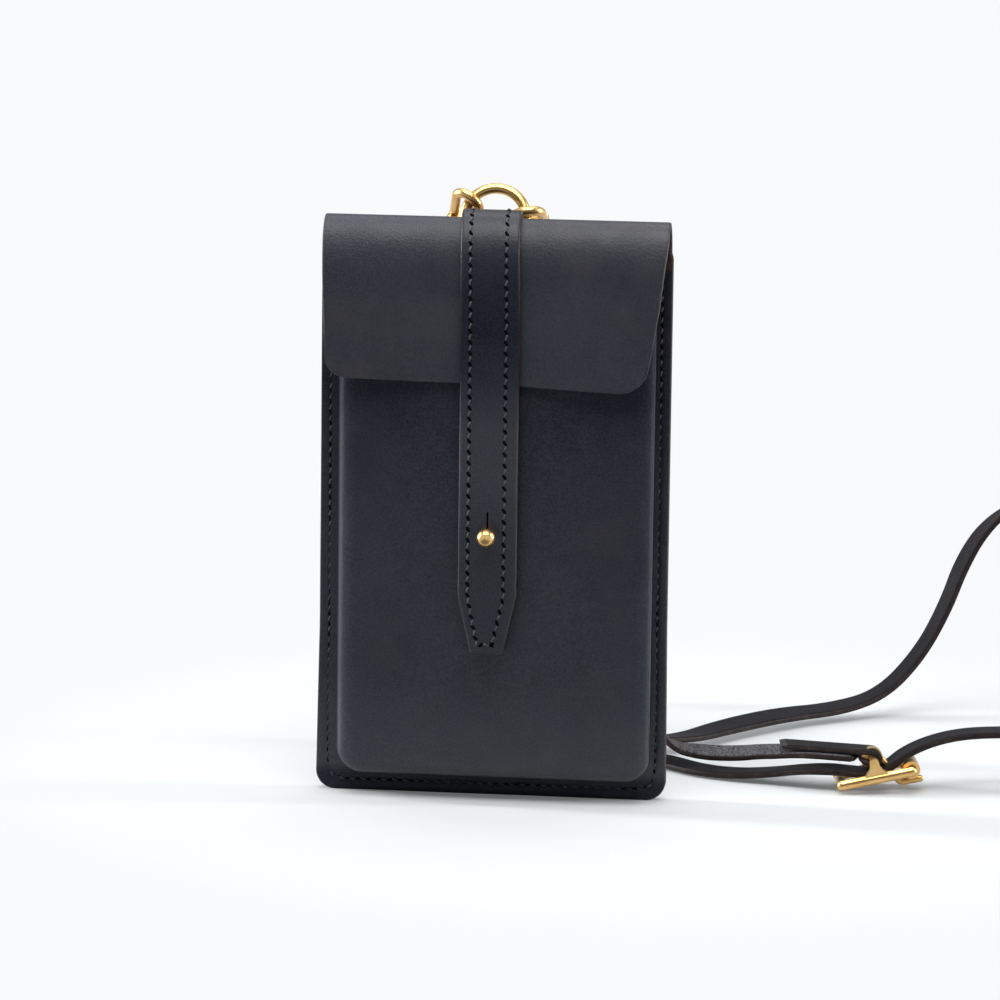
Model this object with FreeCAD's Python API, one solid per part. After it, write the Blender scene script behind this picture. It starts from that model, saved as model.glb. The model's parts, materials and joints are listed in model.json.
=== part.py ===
import FreeCAD, Part
import math
import os

V = FreeCAD.Vector

# Phone pouch in black leather, in millimetres. X runs to the right, Y to the back, Z up.
# The origin is the middle of the lower edge, in the seam plane between front and back panel.

# Leather pouch
pouch_width = 110.0          # across the sewn flange, at the mouth
flare_height = 55.0          # the flange spreads a little below this
flare_left = 1.1
flare_right = 0.6
pouch_height = 185.0         # top of the fold
panel_height = 172.5         # mouth of the pocket
leather = 2.0                # panel leather
side_flange = 5.5            # sewn border beside the moulded pocket
bottom_flange = 6.4          # sewn border under the moulded pocket
corner_radius = 6.2          # lower corners of the flange
pocket_depth = 12.0          # room inside, front to back
pocket_lean = 2.2            # the moulded face sits this far right of its foot
side_draft = 1.0             # degrees, slope of the moulded side walls
bottom_draft = 10.0          # degrees, slope of the moulded lower wall
mould_corner_radius = 7.6    # pocket corners seen from the front
mould_edge_radius = 4.5      # soft edge round the front face
turn_gap = 0.3               # gap between leather pieces that turn on each other
lie_gap = 0.3                # gap under leather that lies loosely on the front
overrun = 1.0                # extra reach of every cut

# Flap
back_fold_share = 0.60       # rear fold radius as a share of the pouch's full depth
front_fold_share = 0.36      # front fold radius, likewise
hinge_angle = 40.0           # degrees up the rear fold where the flap starts to bend
flap_left_inset = 1.5        # flap edge inside the flange, at the fold
flap_right_inset = 0.5
flap_left_taper = 1.6        # narrowing from the fold to the lower edge
flap_right_taper = 5.0
flap_drop = 51.5             # from the fold's top to the middle of the lower edge
flap_slant = 2.8             # how much lower the right end of the lower edge is
flap_left_radius = 7.0
flap_right_radius = 9.5

# Closure strap: an outer layer on a lining
strap_width = 18.3
strap_layer = 1.6
tab_tip_height = 49.0        # tip above the lower edge
tab_tip_width = 10.0
tab_taper = 18.0             # length of the narrowing end
tab_taper_radius = 10.0
tab_tip_radius = 1.25
tab_split_drop = 2.0         # the free tab starts this far under the flap's lower edge
keyhole_radius = 1.9
slit_length = 5.6
slit_width = 0.6

# Ball stud and its screw
stud_height = 86.5
stud_base_radius = 4.0
stud_base = 1.2
stud_neck_radius = 1.5
stud_head_radius = 2.9
stud_head_gap = 0.5          # between the tab and the head
dimple_radius = 1.6
dimple_depth = 0.45
screw_radius = 1.0
screw_head_radius = 3.6
screw_head = 0.9
screw_reach = 4.0            # length in the stud

# Ring on the back and its leather tab
ring_mid_radius = 9.7
ring_wire_radius = 1.65
ring_lean = 22.0             # degrees, leaning back
ring_foot_height = 173.3     # wire centre in the tab
ring_shift = -2.0            # ring and tab sit a little left of the middle
ring_tab_width = 6.0
ring_tab_leather = 1.6
ring_tab_length = 32.0       # sewn part below the loop
ring_tab_gap = 0.4

# Snap hooks, both alike, each built along its own axis
hook_bar_radius = 1.5
hook_mid_radius = 4.2
hook_seat_gap = 0.3
hook_shift = 0.6             # crown's middle outside the ring's wire
hook_leg = 10.5              # where the spine meets the yoke
hook_nose = 1.0              # straight nose after the crown
yoke_length = 6.0
yoke_half_width = 5.7
yoke_thick = 4.6
yoke_corner_radius = 1.2
yoke_taper = 2.0             # narrowing of the yoke towards the collar
yoke_neck_radius = 0.6
collar_radius = 2.5
collar_length = 2.6
gate_thick = 1.5
gate_half_width = 1.2
gate_heel_share = 0.9        # heel radius as a share of the half width
gate_gap = 0.35
gate_slot = 3.0
gate_pin_radius = 0.6
gate_pivot_inset = 2.4       # pivot behind the yoke's front edge
pin_gap = 0.1
spring_wire = 0.4
eye_bar_radius = 1.2
eye_length = 5.0             # free space for the strap
eye_corner_radius = 1.6
eye_stem_radius = 1.0
eye_stem_gap = 0.15
eye_stem_length = 4.5
eye_flange_radius = 2.0
eye_gap = 0.4                # between collar and eye
left_hook_angle = 150.0      # degrees round the ring from the right
right_hook_angle = 9.0
left_hook_dip = 18.0         # degrees the hook hangs below the ring's axis
right_hook_dip = 0.0

# Shoulder strap
shoulder_width = 10.0
shoulder_thick = 2.0
fold_leather = 1.5           # pared leather of the folded ends
fold_slack = 0.2
fold_leg = 13.0
eye_side_gap = 0.4

# Buckle, lying face down with its right end raised
buckle_length = 26.0
buckle_bar_radius = 1.7
buckle_end_radius = 1.5
buckle_side_gap = 0.8        # strap to side bar
buckle_place = V(120.3, 25.8, 5.2)
buckle_yaw = 8.0             # degrees
buckle_tilt = 12.0           # degrees
centre_bar_rise = 5.4
centre_bar_radius = 1.3
stem_foot_radius = 2.6
stem_flare_share = 0.6       # height of the stem's waist in the centre bar's rise
stem_waist_share = 1.3       # half width at the waist in bar radii
stem_top_share = 0.9         # rounding of the stem's top in bar radii
roller_radius = 2.85
roller_gap = 0.2
prong_radius = 1.1
prong_eye_width = 3.0
prong_eye_wall = 1.9
prong_gap = 0.2
prong_room = 0.5             # prong to roller
prong_overhang = 2.5         # tip past the roller's axis
prong_slot_width = 4.0
prong_slot_length = 9.0
prong_slot_start = 1.8       # slot reaches this far behind the centre bar
buckle_fold_leg = 26.0
arc_step = 12.0              # degrees between strap sections in a bend
run_share = 0.45             # how far a bend reaches into the shorter run beside it

# Routes of the two strap pieces: point on the strap's middle, and the way its left edge lies
long_route = [
    (V(-15.84, 36.34, 167.82), V(-0.87, 0.19, 0.46)),
    (V(-18.1, 49.6, 156.7), V(-0.9, 0.15, 0.38)),
    (V(-19.0, 60.5, 139.0), V(-0.97, 0.1, 0.2)),
    (V(-16.5, 68.0, 113.0), V(-1.0, 0.1, 0.0)),
    (V(-10.5, 71.5, 84.0), V(-1.0, 0.2, 0.0)),
    (V(0.0, 70.5, 56.0), V(-0.9, 0.4, 0.0)),
    (V(12.5, 65.5, 31.5), V(-0.7, 0.7, 0.0)),
    (V(27.5, 60.0, 14.0), V(-0.5, 0.85, -0.1)),
    (V(41.5, 60.5, 6.0), V(-0.5, 0.8, -0.12)),
    (V(55.0, 72.5, 3.6), V(-0.75, 0.5, -0.05)),
    (V(68.5, 94.0, 3.9), V(-0.8, 0.5, 0.1)),
    (V(85.0, 113.0, 4.3), V(-0.7, 0.6, 0.12)),
    (V(103.0, 128.0, 3.8), V(-0.6, 0.7, 0.05)),
    (V(117.5, 137.0, 7.7), V(-0.45, 0.85, -0.1)),
    (V(129.5, 142.0, 21.0), V(-0.28, 0.94, 0.08)),
    (V(137.5, 143.5, 37.0), V(-0.3, 0.93, 0.12)),
    (V(142.5, 142.5, 52.0), V(-0.33, 0.92, 0.17)),
    (V(150.0, 139.0, 65.5), V(-0.2, 0.95, 0.1)),
    (V(163.0, 132.0, 77.0), V(0.1, 0.95, -0.1)),
    (V(180.0, 122.5, 85.0), V(0.35, 0.87, -0.2)),
    (V(199.0, 110.5, 88.0), V(0.52, 0.78, -0.32)),
    (V(217.0, 95.0, 84.0), V(0.68, 0.62, -0.38)),
    (V(229.5, 77.0, 72.5), V(0.82, 0.45, -0.36)),
    (V(233.0, 58.5, 55.0), V(0.9, 0.1, -0.42)),
    (V(226.5, 43.5, 38.0), V(0.65, -0.55, -0.4)),
    (V(212.0, 35.5, 26.0), V(0.3, -0.9, -0.2)),
    (V(195.0, 33.0, 20.0), V(0.15, -0.98, -0.05)),
    (V(178.0, 34.2, 18.2), V(0.05, -1.0, 0.0)),
    (V(161.0, 35.5, 18.2), V(0.1, -1.0, 0.0)),
    (V(147.0, 33.0, 17.6), V(0.1, -1.0, 0.0)),
    (V(137.0, 30.0, 15.4), V(0.15, -1.0, 0.0)),
    (V(129.0, 27.8, 11.7), V(0.2, -1.0, 0.0)),
    (V(123.8, 26.6, 7.0), V(0.2, -1.0, 0.0)),
    (V(117.5, 25.2, 5.4), V(0.2, -1.0, 0.0)),
    (V(108.5, 23.4, 6.6), V(0.1, -1.0, 0.0)),
    (V(98.5, 26.0, 5.9), V(-0.3, -0.95, 0.0)),
    (V(87.5, 30.2, 3.4), V(-0.3, -0.95, 0.0)),
    (V(76.0, 32.6, 1.9), V(-0.3, -0.95, 0.0)),
    (V(64.5, 37.0, 1.5), V(-0.5, -0.85, 0.0)),
    (V(54.5, 45.5, 1.5), V(-0.65, -0.75, 0.0)),
    (V(47.0, 54.0, 1.4), V(-0.7, -0.7, 0.0)),
]
short_route = [
    (V(8.17, 39.65, 171.86), V(0.99, 0.06, 0.14)),
    (V(8.7, 56.4, 164.4), V(0.99, 0.0, 0.1)),
    (V(10.8, 70.2, 144.4), V(1.0, 0.0, 0.0)),
    (V(16.0, 76.0, 114.0), V(1.0, -0.1, 0.0)),
    (V(22.0, 74.0, 82.0), V(0.95, -0.3, 0.0)),
    (V(28.5, 67.0, 53.0), V(0.85, -0.5, 0.0)),
    (V(35.5, 58.5, 29.5), V(0.7, -0.7, 0.0)),
    (V(43.5, 52.5, 14.0), V(0.5, -0.85, 0.0)),
    (V(53.5, 48.5, 6.7), V(0.4, -0.9, -0.06)),
    (V(64.0, 44.5, 5.8), V(0.35, -0.94, -0.1)),
    (V(74.5, 41.0, 6.6), V(0.35, -0.94, -0.06)),
    (V(84.5, 37.0, 8.6), V(0.35, -0.94, 0.0)),
    (V(94.5, 31.0, 10.3), V(0.4, -0.9, 0.0)),
    (V(104.5, 27.8, 10.6), V(0.3, -0.95, 0.0)),
    (V(114.7, 26.0, 10.5), V(0.1, -0.99, 0.0)),
]

# Values worked out from the sizes above
box_front = -(pocket_depth + leather)
flap_face = box_front - lie_gap - leather
pouch_depth = leather - flap_face
back_fold_radius = back_fold_share * pouch_depth
front_fold_radius = front_fold_share * pouch_depth
back_fold_y = leather - back_fold_radius
back_fold_z = pouch_height - back_fold_radius
front_fold_y = flap_face + front_fold_radius
front_fold_z = pouch_height - front_fold_radius
flap_edge = pouch_height - flap_drop
tab_top = flap_edge - flap_slant / 2 - tab_split_drop
strap_thick = 2 * strap_layer
strap_face = flap_face - strap_thick
hinge_gap_angle = math.degrees(turn_gap / back_fold_radius) / 2
shapes = {}


def rounded_outline(corners, place):
    """Closed outline through corners (a, b, radius), each rounded; place maps (a, b) to a point."""
    edges = []
    count = len(corners)
    ends = []
    for i in range(count):
        a, b, radius = corners[i]
        before = V(corners[i - 1][0] - a, corners[i - 1][1] - b, 0).normalize()
        after = V(corners[(i + 1) % count][0] - a, corners[(i + 1) % count][1] - b, 0).normalize()
        corner = V(a, b, 0)
        if radius == 0:
            ends.append((corner, corner, None))
            continue
        half = before.getAngle(after) / 2
        reach = radius / math.tan(half)
        middle = corner + (before + after).normalize() * (radius / math.sin(half) - radius)
        ends.append((corner + before * reach, corner + after * reach, middle))
    for i in range(count):
        first, last, middle = ends[i]
        if middle:
            edges.append(Part.Arc(place(first), place(middle), place(last)).toShape())
        following = ends[(i + 1) % count][0]
        edges.append(Part.LineSegment(place(last), place(following)).toShape())
    return Part.Wire(edges)


def front_view(y):
    """Places an outline drawn in X and Z at depth y."""
    return lambda p: V(p.x, y, p.y)


def plate(corners, y_from, y_to):
    """Sheet with a rounded outline drawn from the front."""
    face = Part.Face(rounded_outline(corners, front_view(y_from)))
    return face.extrude(V(0, y_to - y_from, 0))


def around(y, z, radius, degrees):
    """Point on a fold's arc, seen from the side; 0 degrees is the back, 90 the top."""
    turn = math.radians(degrees)
    return V(0, y + radius * math.cos(turn), z + radius * math.sin(turn))


def arc(y, z, radius, start, stop):
    """Arc of a fold, seen from the side."""
    middle = around(y, z, radius, (start + stop) / 2)
    return Part.Arc(around(y, z, radius, start), middle, around(y, z, radius, stop)).toShape()


def across(wire_edges, left, right):
    """Sheet drawn from the side and spread from left to right."""
    face = Part.Face(Part.Wire(wire_edges))
    face.translate(V(left, 0, 0))
    return face.extrude(V(right - left, 0, 0))


def line(first, last):
    return Part.LineSegment(first, last).toShape()


def top_band(inner, outer, start, left, right):
    """Leather over the top, between two offsets from the flap's face, up to the end of the front fold."""
    def side(offset):
        back = (back_fold_y, back_fold_z, back_fold_radius + offset)
        front = (front_fold_y, front_fold_z, front_fold_radius + offset)
        return [arc(*back, start, 90), line(around(*back, 90), around(*front, 90)), arc(*front, 90, 180)]

    inside = side(inner)
    outside = side(outer)
    back = (back_fold_y, back_fold_z, back_fold_radius)
    front = (front_fold_y, front_fold_z, front_fold_radius)
    closing = []
    for (y, z, radius), degrees in ((back, start), (front, 180)):
        closing.append(line(around(y, z, radius + inner, degrees), around(y, z, radius + outer, degrees)))
    edges = Part.sortEdges(inside + outside + closing)[0]
    return across(edges, left, right)


def turned(profile, axis_x, axis_z):
    """Round piece about a front-to-back axis; profile is a list of (radius, y) corners from axis to axis."""
    points = [V(axis_x + radius, y, axis_z) for radius, y in profile]
    face = Part.Face(Part.makePolygon(points + points[:1]))
    return face.revolve(V(axis_x, 0, axis_z), V(0, 1, 0), 360)


# Pouch panels

half_width = pouch_width / 2
flap_left = flap_left_inset - half_width
flap_right = half_width - flap_right_inset


def panel_corners(top):
    """Outline of the sewn panels, up to the height top."""
    return [(-half_width, top, 0), (-half_width, flare_height, 0),
            (-half_width - flare_left, 0, corner_radius), (half_width + flare_right, 0, corner_radius),
            (half_width, flare_height, 0), (half_width, top, 0)]


def moulded_block(inset, y_front):
    """Drafted block of the moulded pocket, from the seam plane to y_front, reaching above the mouth."""
    above = panel_height + 3 * mould_corner_radius
    radius = mould_corner_radius - inset
    wires = []
    for y in (overrun if inset else 0, y_front):
        side = math.radians(side_draft)
        below = math.radians(bottom_draft)
        x = half_width - side_flange - inset / math.cos(side) + y * math.tan(side)
        low = bottom_flange + inset / math.cos(below) - y * math.tan(below)
        middle = pocket_lean * y / box_front
        corners = [(middle - x, above, radius), (middle - x, low, radius),
                   (middle + x, low, radius), (middle + x, above, radius)]
        wires.append(rounded_outline(corners, front_view(y)))
    return Part.makeLoft(wires, True, True)


def soft_edge(block, y_front, radius):
    """Rounds the edge round a moulded block's front face."""
    edges = [e for e in block.Edges if all(abs(v.Y - y_front) < leather / 2 for v in e.Vertexes)]
    return block.makeFillet(radius, edges)


outer_block = soft_edge(moulded_block(0, box_front), box_front, mould_edge_radius)
inner_block = soft_edge(moulded_block(leather, -pocket_depth), -pocket_depth, mould_edge_radius - leather)
above_mouth = Part.makeBox(2 * pouch_width, 4 * pouch_depth, pouch_height,
                           V(-pouch_width, -2 * pouch_depth, panel_height))
front_panel = plate(panel_corners(panel_height), -leather, 0).fuse(outer_block)
front_panel = front_panel.cut(inner_block).cut(above_mouth)
stud_bore = Part.makeCylinder(screw_radius + pin_gap, leather + 2 * overrun,
                              V(0, -pocket_depth + overrun, stud_height), V(0, -1, 0))
shapes["front_panel"] = front_panel.cut(stud_bore).removeSplitter()

fold_stop = hinge_angle - hinge_gap_angle
fold_outside = (back_fold_y, back_fold_z, back_fold_radius)
fold_inside = (back_fold_y, back_fold_z, back_fold_radius - leather)
fold_band = across([arc(*fold_outside, 0, fold_stop),
                    line(around(*fold_outside, fold_stop), around(*fold_inside, fold_stop)),
                    arc(*fold_inside, fold_stop, 0),
                    line(around(*fold_inside, 0), around(*fold_outside, 0))], flap_left, flap_right)
shapes["back_panel"] = plate(panel_corners(back_fold_z), 0, leather).fuse(fold_band).removeSplitter()

# Flap

hinge_start = hinge_angle + hinge_gap_angle
front_top = front_fold_z - turn_gap
shapes["flap_top"] = top_band(-leather, 0, hinge_start, flap_left, flap_right)
flap_corners = [(flap_left, front_top, 0),
                (flap_left + flap_left_taper, flap_edge + flap_slant / 2, flap_left_radius),
                (flap_right - flap_right_taper, flap_edge - flap_slant / 2, flap_right_radius),
                (flap_right, front_top, 0)]
shapes["flap_front"] = plate(flap_corners, flap_face, flap_face + leather)

# Closure strap

half_strap = strap_width / 2
front_corners = [(-half_strap, front_top, 0), (-half_strap, tab_top, 0),
                 (half_strap, tab_top, 0), (half_strap, front_top, 0)]
tab_start = tab_top - turn_gap
taper_start = tab_tip_height + tab_taper
tab_corners = [(-half_strap, tab_start, 0), (-half_strap, taper_start, tab_taper_radius),
               (-tab_tip_width / 2, tab_tip_height, tab_tip_radius),
               (tab_tip_width / 2, tab_tip_height, tab_tip_radius),
               (half_strap, taper_start, tab_taper_radius), (half_strap, tab_start, 0)]
keyhole = Part.makeCylinder(keyhole_radius, 2 * strap_thick,
                            V(0, strap_face - strap_thick / 2, stud_height), V(0, 1, 0))
slit = Part.makeBox(slit_width, 2 * strap_thick, keyhole_radius + slit_length,
                    V(-slit_width / 2, strap_face - strap_thick / 2, stud_height))
closure_layers = [("closure_lining_top", "closure_lining_front", "closure_tab_lining", 0),
                  ("closure_strap_top", "closure_strap_front", "closure_tab", strap_layer)]
for over_top, down_front, free_tab, offset in closure_layers:
    inside = flap_face - offset
    outside = inside - strap_layer
    shapes[over_top] = top_band(offset, offset + strap_layer, hinge_start + hinge_gap_angle,
                                -half_strap, half_strap)
    shapes[down_front] = plate(front_corners, outside, inside)
    shapes[free_tab] = plate(tab_corners, outside, inside).cut(keyhole.fuse(slit))

# Ball stud and its screw

head_back = strap_face - stud_head_gap
head_middle = head_back - stud_head_radius
stud_profile = [(0, box_front), (stud_base_radius, box_front), (stud_base_radius, box_front - stud_base / 2),
                (stud_neck_radius, box_front - stud_base), (stud_neck_radius, head_middle), (0, head_middle)]
head = Part.makeSphere(stud_head_radius, V(0, head_middle, stud_height), V(0, 1, 0))
dimple_rim = head_middle - math.sqrt(stud_head_radius ** 2 - dimple_radius ** 2)
dimple_reach = dimple_depth + stud_head_radius
dimple = Part.makeCone(0, dimple_radius * dimple_reach / dimple_depth, dimple_reach,
                       V(0, dimple_rim + dimple_depth, stud_height), V(0, -1, 0))
socket = Part.makeCylinder(screw_radius, screw_reach + overrun,
                           V(0, box_front + overrun, stud_height), V(0, -1, 0))
shapes["closure_stud"] = turned(stud_profile, 0, stud_height).fuse(head).cut([dimple, socket])
screw_profile = [(0, -pocket_depth + screw_head), (screw_head_radius, -pocket_depth + screw_head),
                 (screw_head_radius, -pocket_depth), (screw_radius, -pocket_depth),
                 (screw_radius, box_front - screw_reach), (0, box_front - screw_reach)]
shapes["stud_screw"] = turned(screw_profile, 0, stud_height)

# Ring and its tab on the back

lean = math.radians(ring_lean)
ring_up = V(0, math.sin(lean), math.cos(lean))
ring_back = V(0, math.cos(lean), -math.sin(lean))
loop_rise = ring_mid_radius - math.sqrt(ring_mid_radius ** 2 - (ring_tab_width / 2) ** 2)
loop_radius = ring_wire_radius + loop_rise / 2 + ring_tab_gap
loop_outer = loop_radius + ring_tab_leather
ring_foot = V(ring_shift, leather + loop_outer, ring_foot_height)
ring_centre = ring_foot + ring_up * ring_mid_radius
shapes["o_ring"] = Part.makeTorus(ring_mid_radius, ring_wire_radius, ring_centre, ring_back)


def bar_across(radius, centre, length):
    """Round bar along X, centred."""
    return Part.makeCylinder(radius, length, centre - V(length / 2, 0, 0), V(1, 0, 0))


loop_centre = ring_foot + ring_up * (loop_rise / 2)
tab_left = ring_shift - ring_tab_width / 2
tab_right = ring_shift + ring_tab_width / 2
tab_foot = ring_foot_height - ring_tab_length
tab_round = ring_tab_width / 4
leg_corners = [(tab_left, ring_foot_height, 0), (tab_left, tab_foot, tab_round),
               (tab_right, tab_foot, tab_round), (tab_right, ring_foot_height, 0)]
ring_tab = plate(leg_corners, leather, leather + 2 * ring_tab_leather)
ring_tab = ring_tab.fuse(bar_across(loop_outer, loop_centre, ring_tab_width))
shapes["ring_tab"] = ring_tab.cut(bar_across(loop_radius, loop_centre, 2 * ring_tab_width)).removeSplitter()

# Snap hooks: x points away from the ring's middle, y along the hook towards the strap


def flat(z):
    """Places an outline drawn in a hook's own plane at the height z."""
    return lambda p: V(p.x, p.y, z)


def slab(corners, thick):
    """Flat piece of a hook, centred on the hook's plane."""
    face = Part.Face(rounded_outline(corners, flat(-thick / 2)))
    return face.extrude(V(0, 0, thick))


def swept(path, start, direction, radius):
    """Round wire along a path."""
    section = Part.Wire(Part.makeCircle(radius, start, direction))
    return Part.Wire(path).makePipeShell([section], True, True)


def upright(radius, x, y, z_from, z_to):
    """Round bar square to the hook's plane."""
    return Part.makeCylinder(radius, z_to - z_from, V(x, y, z_from))


def shank(radius, y_from, y_to):
    """Round bar along the hook's axis."""
    return Part.makeCylinder(radius, y_to - y_from, V(0, y_from, 0), V(0, 1, 0))


crown_room = hook_mid_radius - hook_bar_radius - ring_wire_radius - hook_seat_gap
crown_y = math.sqrt(max(crown_room ** 2 - hook_shift ** 2, 0))
pivot_y = hook_leg + gate_pivot_inset
yoke_end = hook_leg + yoke_length
collar_end = yoke_end + collar_length
eye_start = collar_end + eye_gap + eye_bar_radius
eye_end = eye_start + eye_length + 2 * eye_bar_radius
slot_reach = pivot_y + 2 * gate_half_width
slot_wall = -hook_mid_radius + gate_half_width + 2 * gate_pin_radius + spring_wire


def hook_body():
    """Crown with spine and nose on a yoke, with the collar for the swivel."""
    spine_end = V(hook_mid_radius, hook_leg + yoke_corner_radius, 0)
    spine_top = V(hook_mid_radius, crown_y, 0)
    nose_top = V(-hook_mid_radius, crown_y, 0)
    crown = Part.Arc(spine_top, V(0, crown_y - hook_mid_radius, 0), nose_top).toShape()
    path = [line(spine_end, spine_top), crown, line(nose_top, nose_top + V(0, hook_nose, 0))]
    bar = swept(path, spine_end, V(0, -1, 0), hook_bar_radius)
    shoulder = yoke_end - yoke_taper
    corners = [(-yoke_half_width, hook_leg, yoke_corner_radius),
               (-yoke_half_width, shoulder, yoke_corner_radius),
               (-collar_radius, yoke_end, yoke_neck_radius),
               (collar_radius, yoke_end, yoke_neck_radius),
               (yoke_half_width, shoulder, yoke_corner_radius),
               (yoke_half_width, hook_leg, yoke_corner_radius)]
    body = slab(corners, yoke_thick).fuse([bar, shank(collar_radius, yoke_end - overrun, collar_end)])
    slot = Part.makeBox(slot_wall + yoke_half_width + overrun, slot_reach - hook_leg + overrun, gate_slot,
                        V(-yoke_half_width - overrun, hook_leg - overrun, -gate_slot / 2))
    pin_hole = upright(gate_pin_radius, -hook_mid_radius, pivot_y, -yoke_thick, yoke_thick)
    stem_hole = shank(eye_stem_radius + eye_stem_gap, collar_end - eye_stem_length, collar_end + overrun)
    return body.cut([slot, pin_hole, stem_hole]).removeSplitter()


def gate():
    """Lever that closes the hook from the nose to the yoke."""
    tip = crown_y + hook_nose + gate_gap
    heel = pivot_y + gate_half_width
    left = -hook_mid_radius - gate_half_width
    right = -hook_mid_radius + gate_half_width
    soft = gate_half_width * gate_heel_share
    corners = [(left, tip, gate_gap), (left, heel, soft), (right, heel, soft), (right, tip, gate_gap)]
    lever = slab(corners, gate_thick)
    return lever.cut(upright(gate_pin_radius + pin_gap, -hook_mid_radius, pivot_y, -gate_thick, gate_thick))


def gate_pin():
    return upright(gate_pin_radius, -hook_mid_radius, pivot_y, -yoke_thick / 2, yoke_thick / 2)


def gate_spring():
    """Coil round the pin beside the gate, with a leg against the slot's wall."""
    low = gate_thick / 2 + pin_gap
    high = gate_slot / 2 - pin_gap
    inner = gate_pin_radius + pin_gap
    outer = inner + spring_wire
    coil = upright(outer, -hook_mid_radius, pivot_y, low, high)
    leg = Part.makeBox(slot_wall + hook_mid_radius - pin_gap, spring_wire, high - low,
                       V(-hook_mid_radius, pivot_y + inner, low))
    return coil.fuse(leg).cut(upright(inner, -hook_mid_radius, pivot_y, low - overrun, high + overrun))


def swivel_eye():
    """Rounded frame for the strap on a stem that turns in the hook's collar."""
    half = shoulder_width / 2 + eye_side_gap + eye_bar_radius
    bend = eye_corner_radius
    inner_bend = bend * (1 - math.sqrt(0.5))
    pieces = [shank(eye_stem_radius, collar_end - eye_stem_length + eye_gap, eye_start),
              shank(eye_flange_radius, collar_end + eye_gap, eye_start)]
    for side in (-1, 1):
        low = V(side * half, eye_start, 0)
        high = V(side * half, eye_end, 0)
        inward = V(-side, 0, 0)
        path = [line(V(0, eye_start, 0), low + inward * bend),
                Part.Arc(low + inward * bend, low + inward * inner_bend + V(0, inner_bend, 0),
                         low + V(0, bend, 0)).toShape(),
                line(low + V(0, bend, 0), high - V(0, bend, 0)),
                Part.Arc(high - V(0, bend, 0), high + inward * inner_bend - V(0, inner_bend, 0),
                         high + inward * bend).toShape(),
                line(high + inward * bend, V(0, eye_end, 0))]
        pieces.append(swept(path, V(0, eye_start, 0), inward, eye_bar_radius))
    return pieces[0].fuse(pieces[1:]).removeSplitter()


def strap_end(upper):
    """Pared strap end folded round the eye's bar, with its sewn leg on the strap's upper side."""
    inner = eye_bar_radius + fold_slack
    outer = inner + fold_leather
    width = shoulder_width

    def round_bar(radius):
        return Part.makeCylinder(radius, width, V(-width / 2, eye_end, 0), V(1, 0, 0))

    leg_base = inner if upper > 0 else -outer
    leg = Part.makeBox(width, outer + fold_leg, fold_leather, V(-width / 2, eye_end, leg_base))
    return round_bar(outer).fuse(leg).cut(round_bar(inner)).removeSplitter()


hook_pieces = {"snap_hook": hook_body, "gate": gate, "gate_pin": gate_pin, "gate_spring": gate_spring,
               "swivel_eye": swivel_eye}
hook_axes = {}
hook_places = [("left", left_hook_angle, left_hook_dip), ("right", right_hook_angle, right_hook_dip)]
for side, degrees, dip in hook_places:
    turn = math.radians(degrees)
    outward = V(1, 0, 0) * math.cos(turn) + ring_up * math.sin(turn)
    seat = ring_centre + outward * (ring_mid_radius + hook_shift)
    down = outward.cross(ring_back)
    if down.z > 0:
        down = down * -1
    along = ring_back * math.cos(math.radians(dip)) + down * math.sin(math.radians(dip))
    normal = outward.cross(along)
    axes = FreeCAD.Matrix(outward.x, along.x, normal.x, seat.x, outward.y, along.y, normal.y, seat.y,
                          outward.z, along.z, normal.z, seat.z, 0, 0, 0, 1)
    hook_axes[side] = axes
    pieces = {name: make() for name, make in hook_pieces.items()}
    pieces["strap_end"] = strap_end(normal.z)
    for name, piece in pieces.items():
        piece.Placement = FreeCAD.Placement(axes)
        shapes[name + "_" + side] = piece

# Buckle: a runs along the strap, b across it, c up out of the frame

buckle_turn = FreeCAD.Rotation(V(0, 0, 1), buckle_yaw) * FreeCAD.Rotation(V(0, 1, 0), -buckle_tilt)
buckle_axes = FreeCAD.Placement(buckle_place, buckle_turn)
bar_side = shoulder_width / 2 + buckle_side_gap + buckle_bar_radius
bar_end = buckle_length / 2 - buckle_bar_radius


def bar_b(radius, a, c, length):
    """Round bar across the buckle, centred."""
    return Part.makeCylinder(radius, length, V(a, -length / 2, c), V(0, 1, 0))


def buckle_frame():
    """Side bars with flared stems that carry the raised centre bar, and two end bars."""
    pieces = []
    top = centre_bar_rise + centre_bar_radius
    waist = stem_flare_share * centre_bar_rise
    for side in (-bar_side, bar_side):
        pieces.append(Part.makeCylinder(buckle_bar_radius, 2 * bar_end, V(-bar_end, side, 0), V(1, 0, 0)))
        for end in (-bar_end, bar_end):
            pieces.append(Part.makeSphere(buckle_bar_radius, V(end, side, 0)))
        half_waist = centre_bar_radius * stem_waist_share
        soft = centre_bar_radius * stem_top_share
        corners = [(-2 * stem_foot_radius, 0, 0), (-half_waist, waist, stem_foot_radius),
                   (-centre_bar_radius, top, soft), (centre_bar_radius, top, soft),
                   (half_waist, waist, stem_foot_radius), (2 * stem_foot_radius, 0, 0)]
        outline = rounded_outline(corners, lambda p: V(p.x, side - centre_bar_radius, p.y))
        pieces.append(Part.Face(outline).extrude(V(0, 2 * centre_bar_radius, 0)))
    for end in (-bar_end, bar_end):
        pieces.append(bar_b(buckle_end_radius, end, 0, 2 * bar_side))
    pieces.append(bar_b(centre_bar_radius, 0, centre_bar_rise, 2 * bar_side))
    return pieces[0].fuse(pieces[1:]).removeSplitter()


def buckle_roller():
    """Tube that turns on the right end bar."""
    length = shoulder_width + buckle_side_gap
    bore = bar_b(buckle_end_radius + roller_gap, bar_end, 0, 2 * length)
    return bar_b(roller_radius, bar_end, 0, length).cut(bore)


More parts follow.
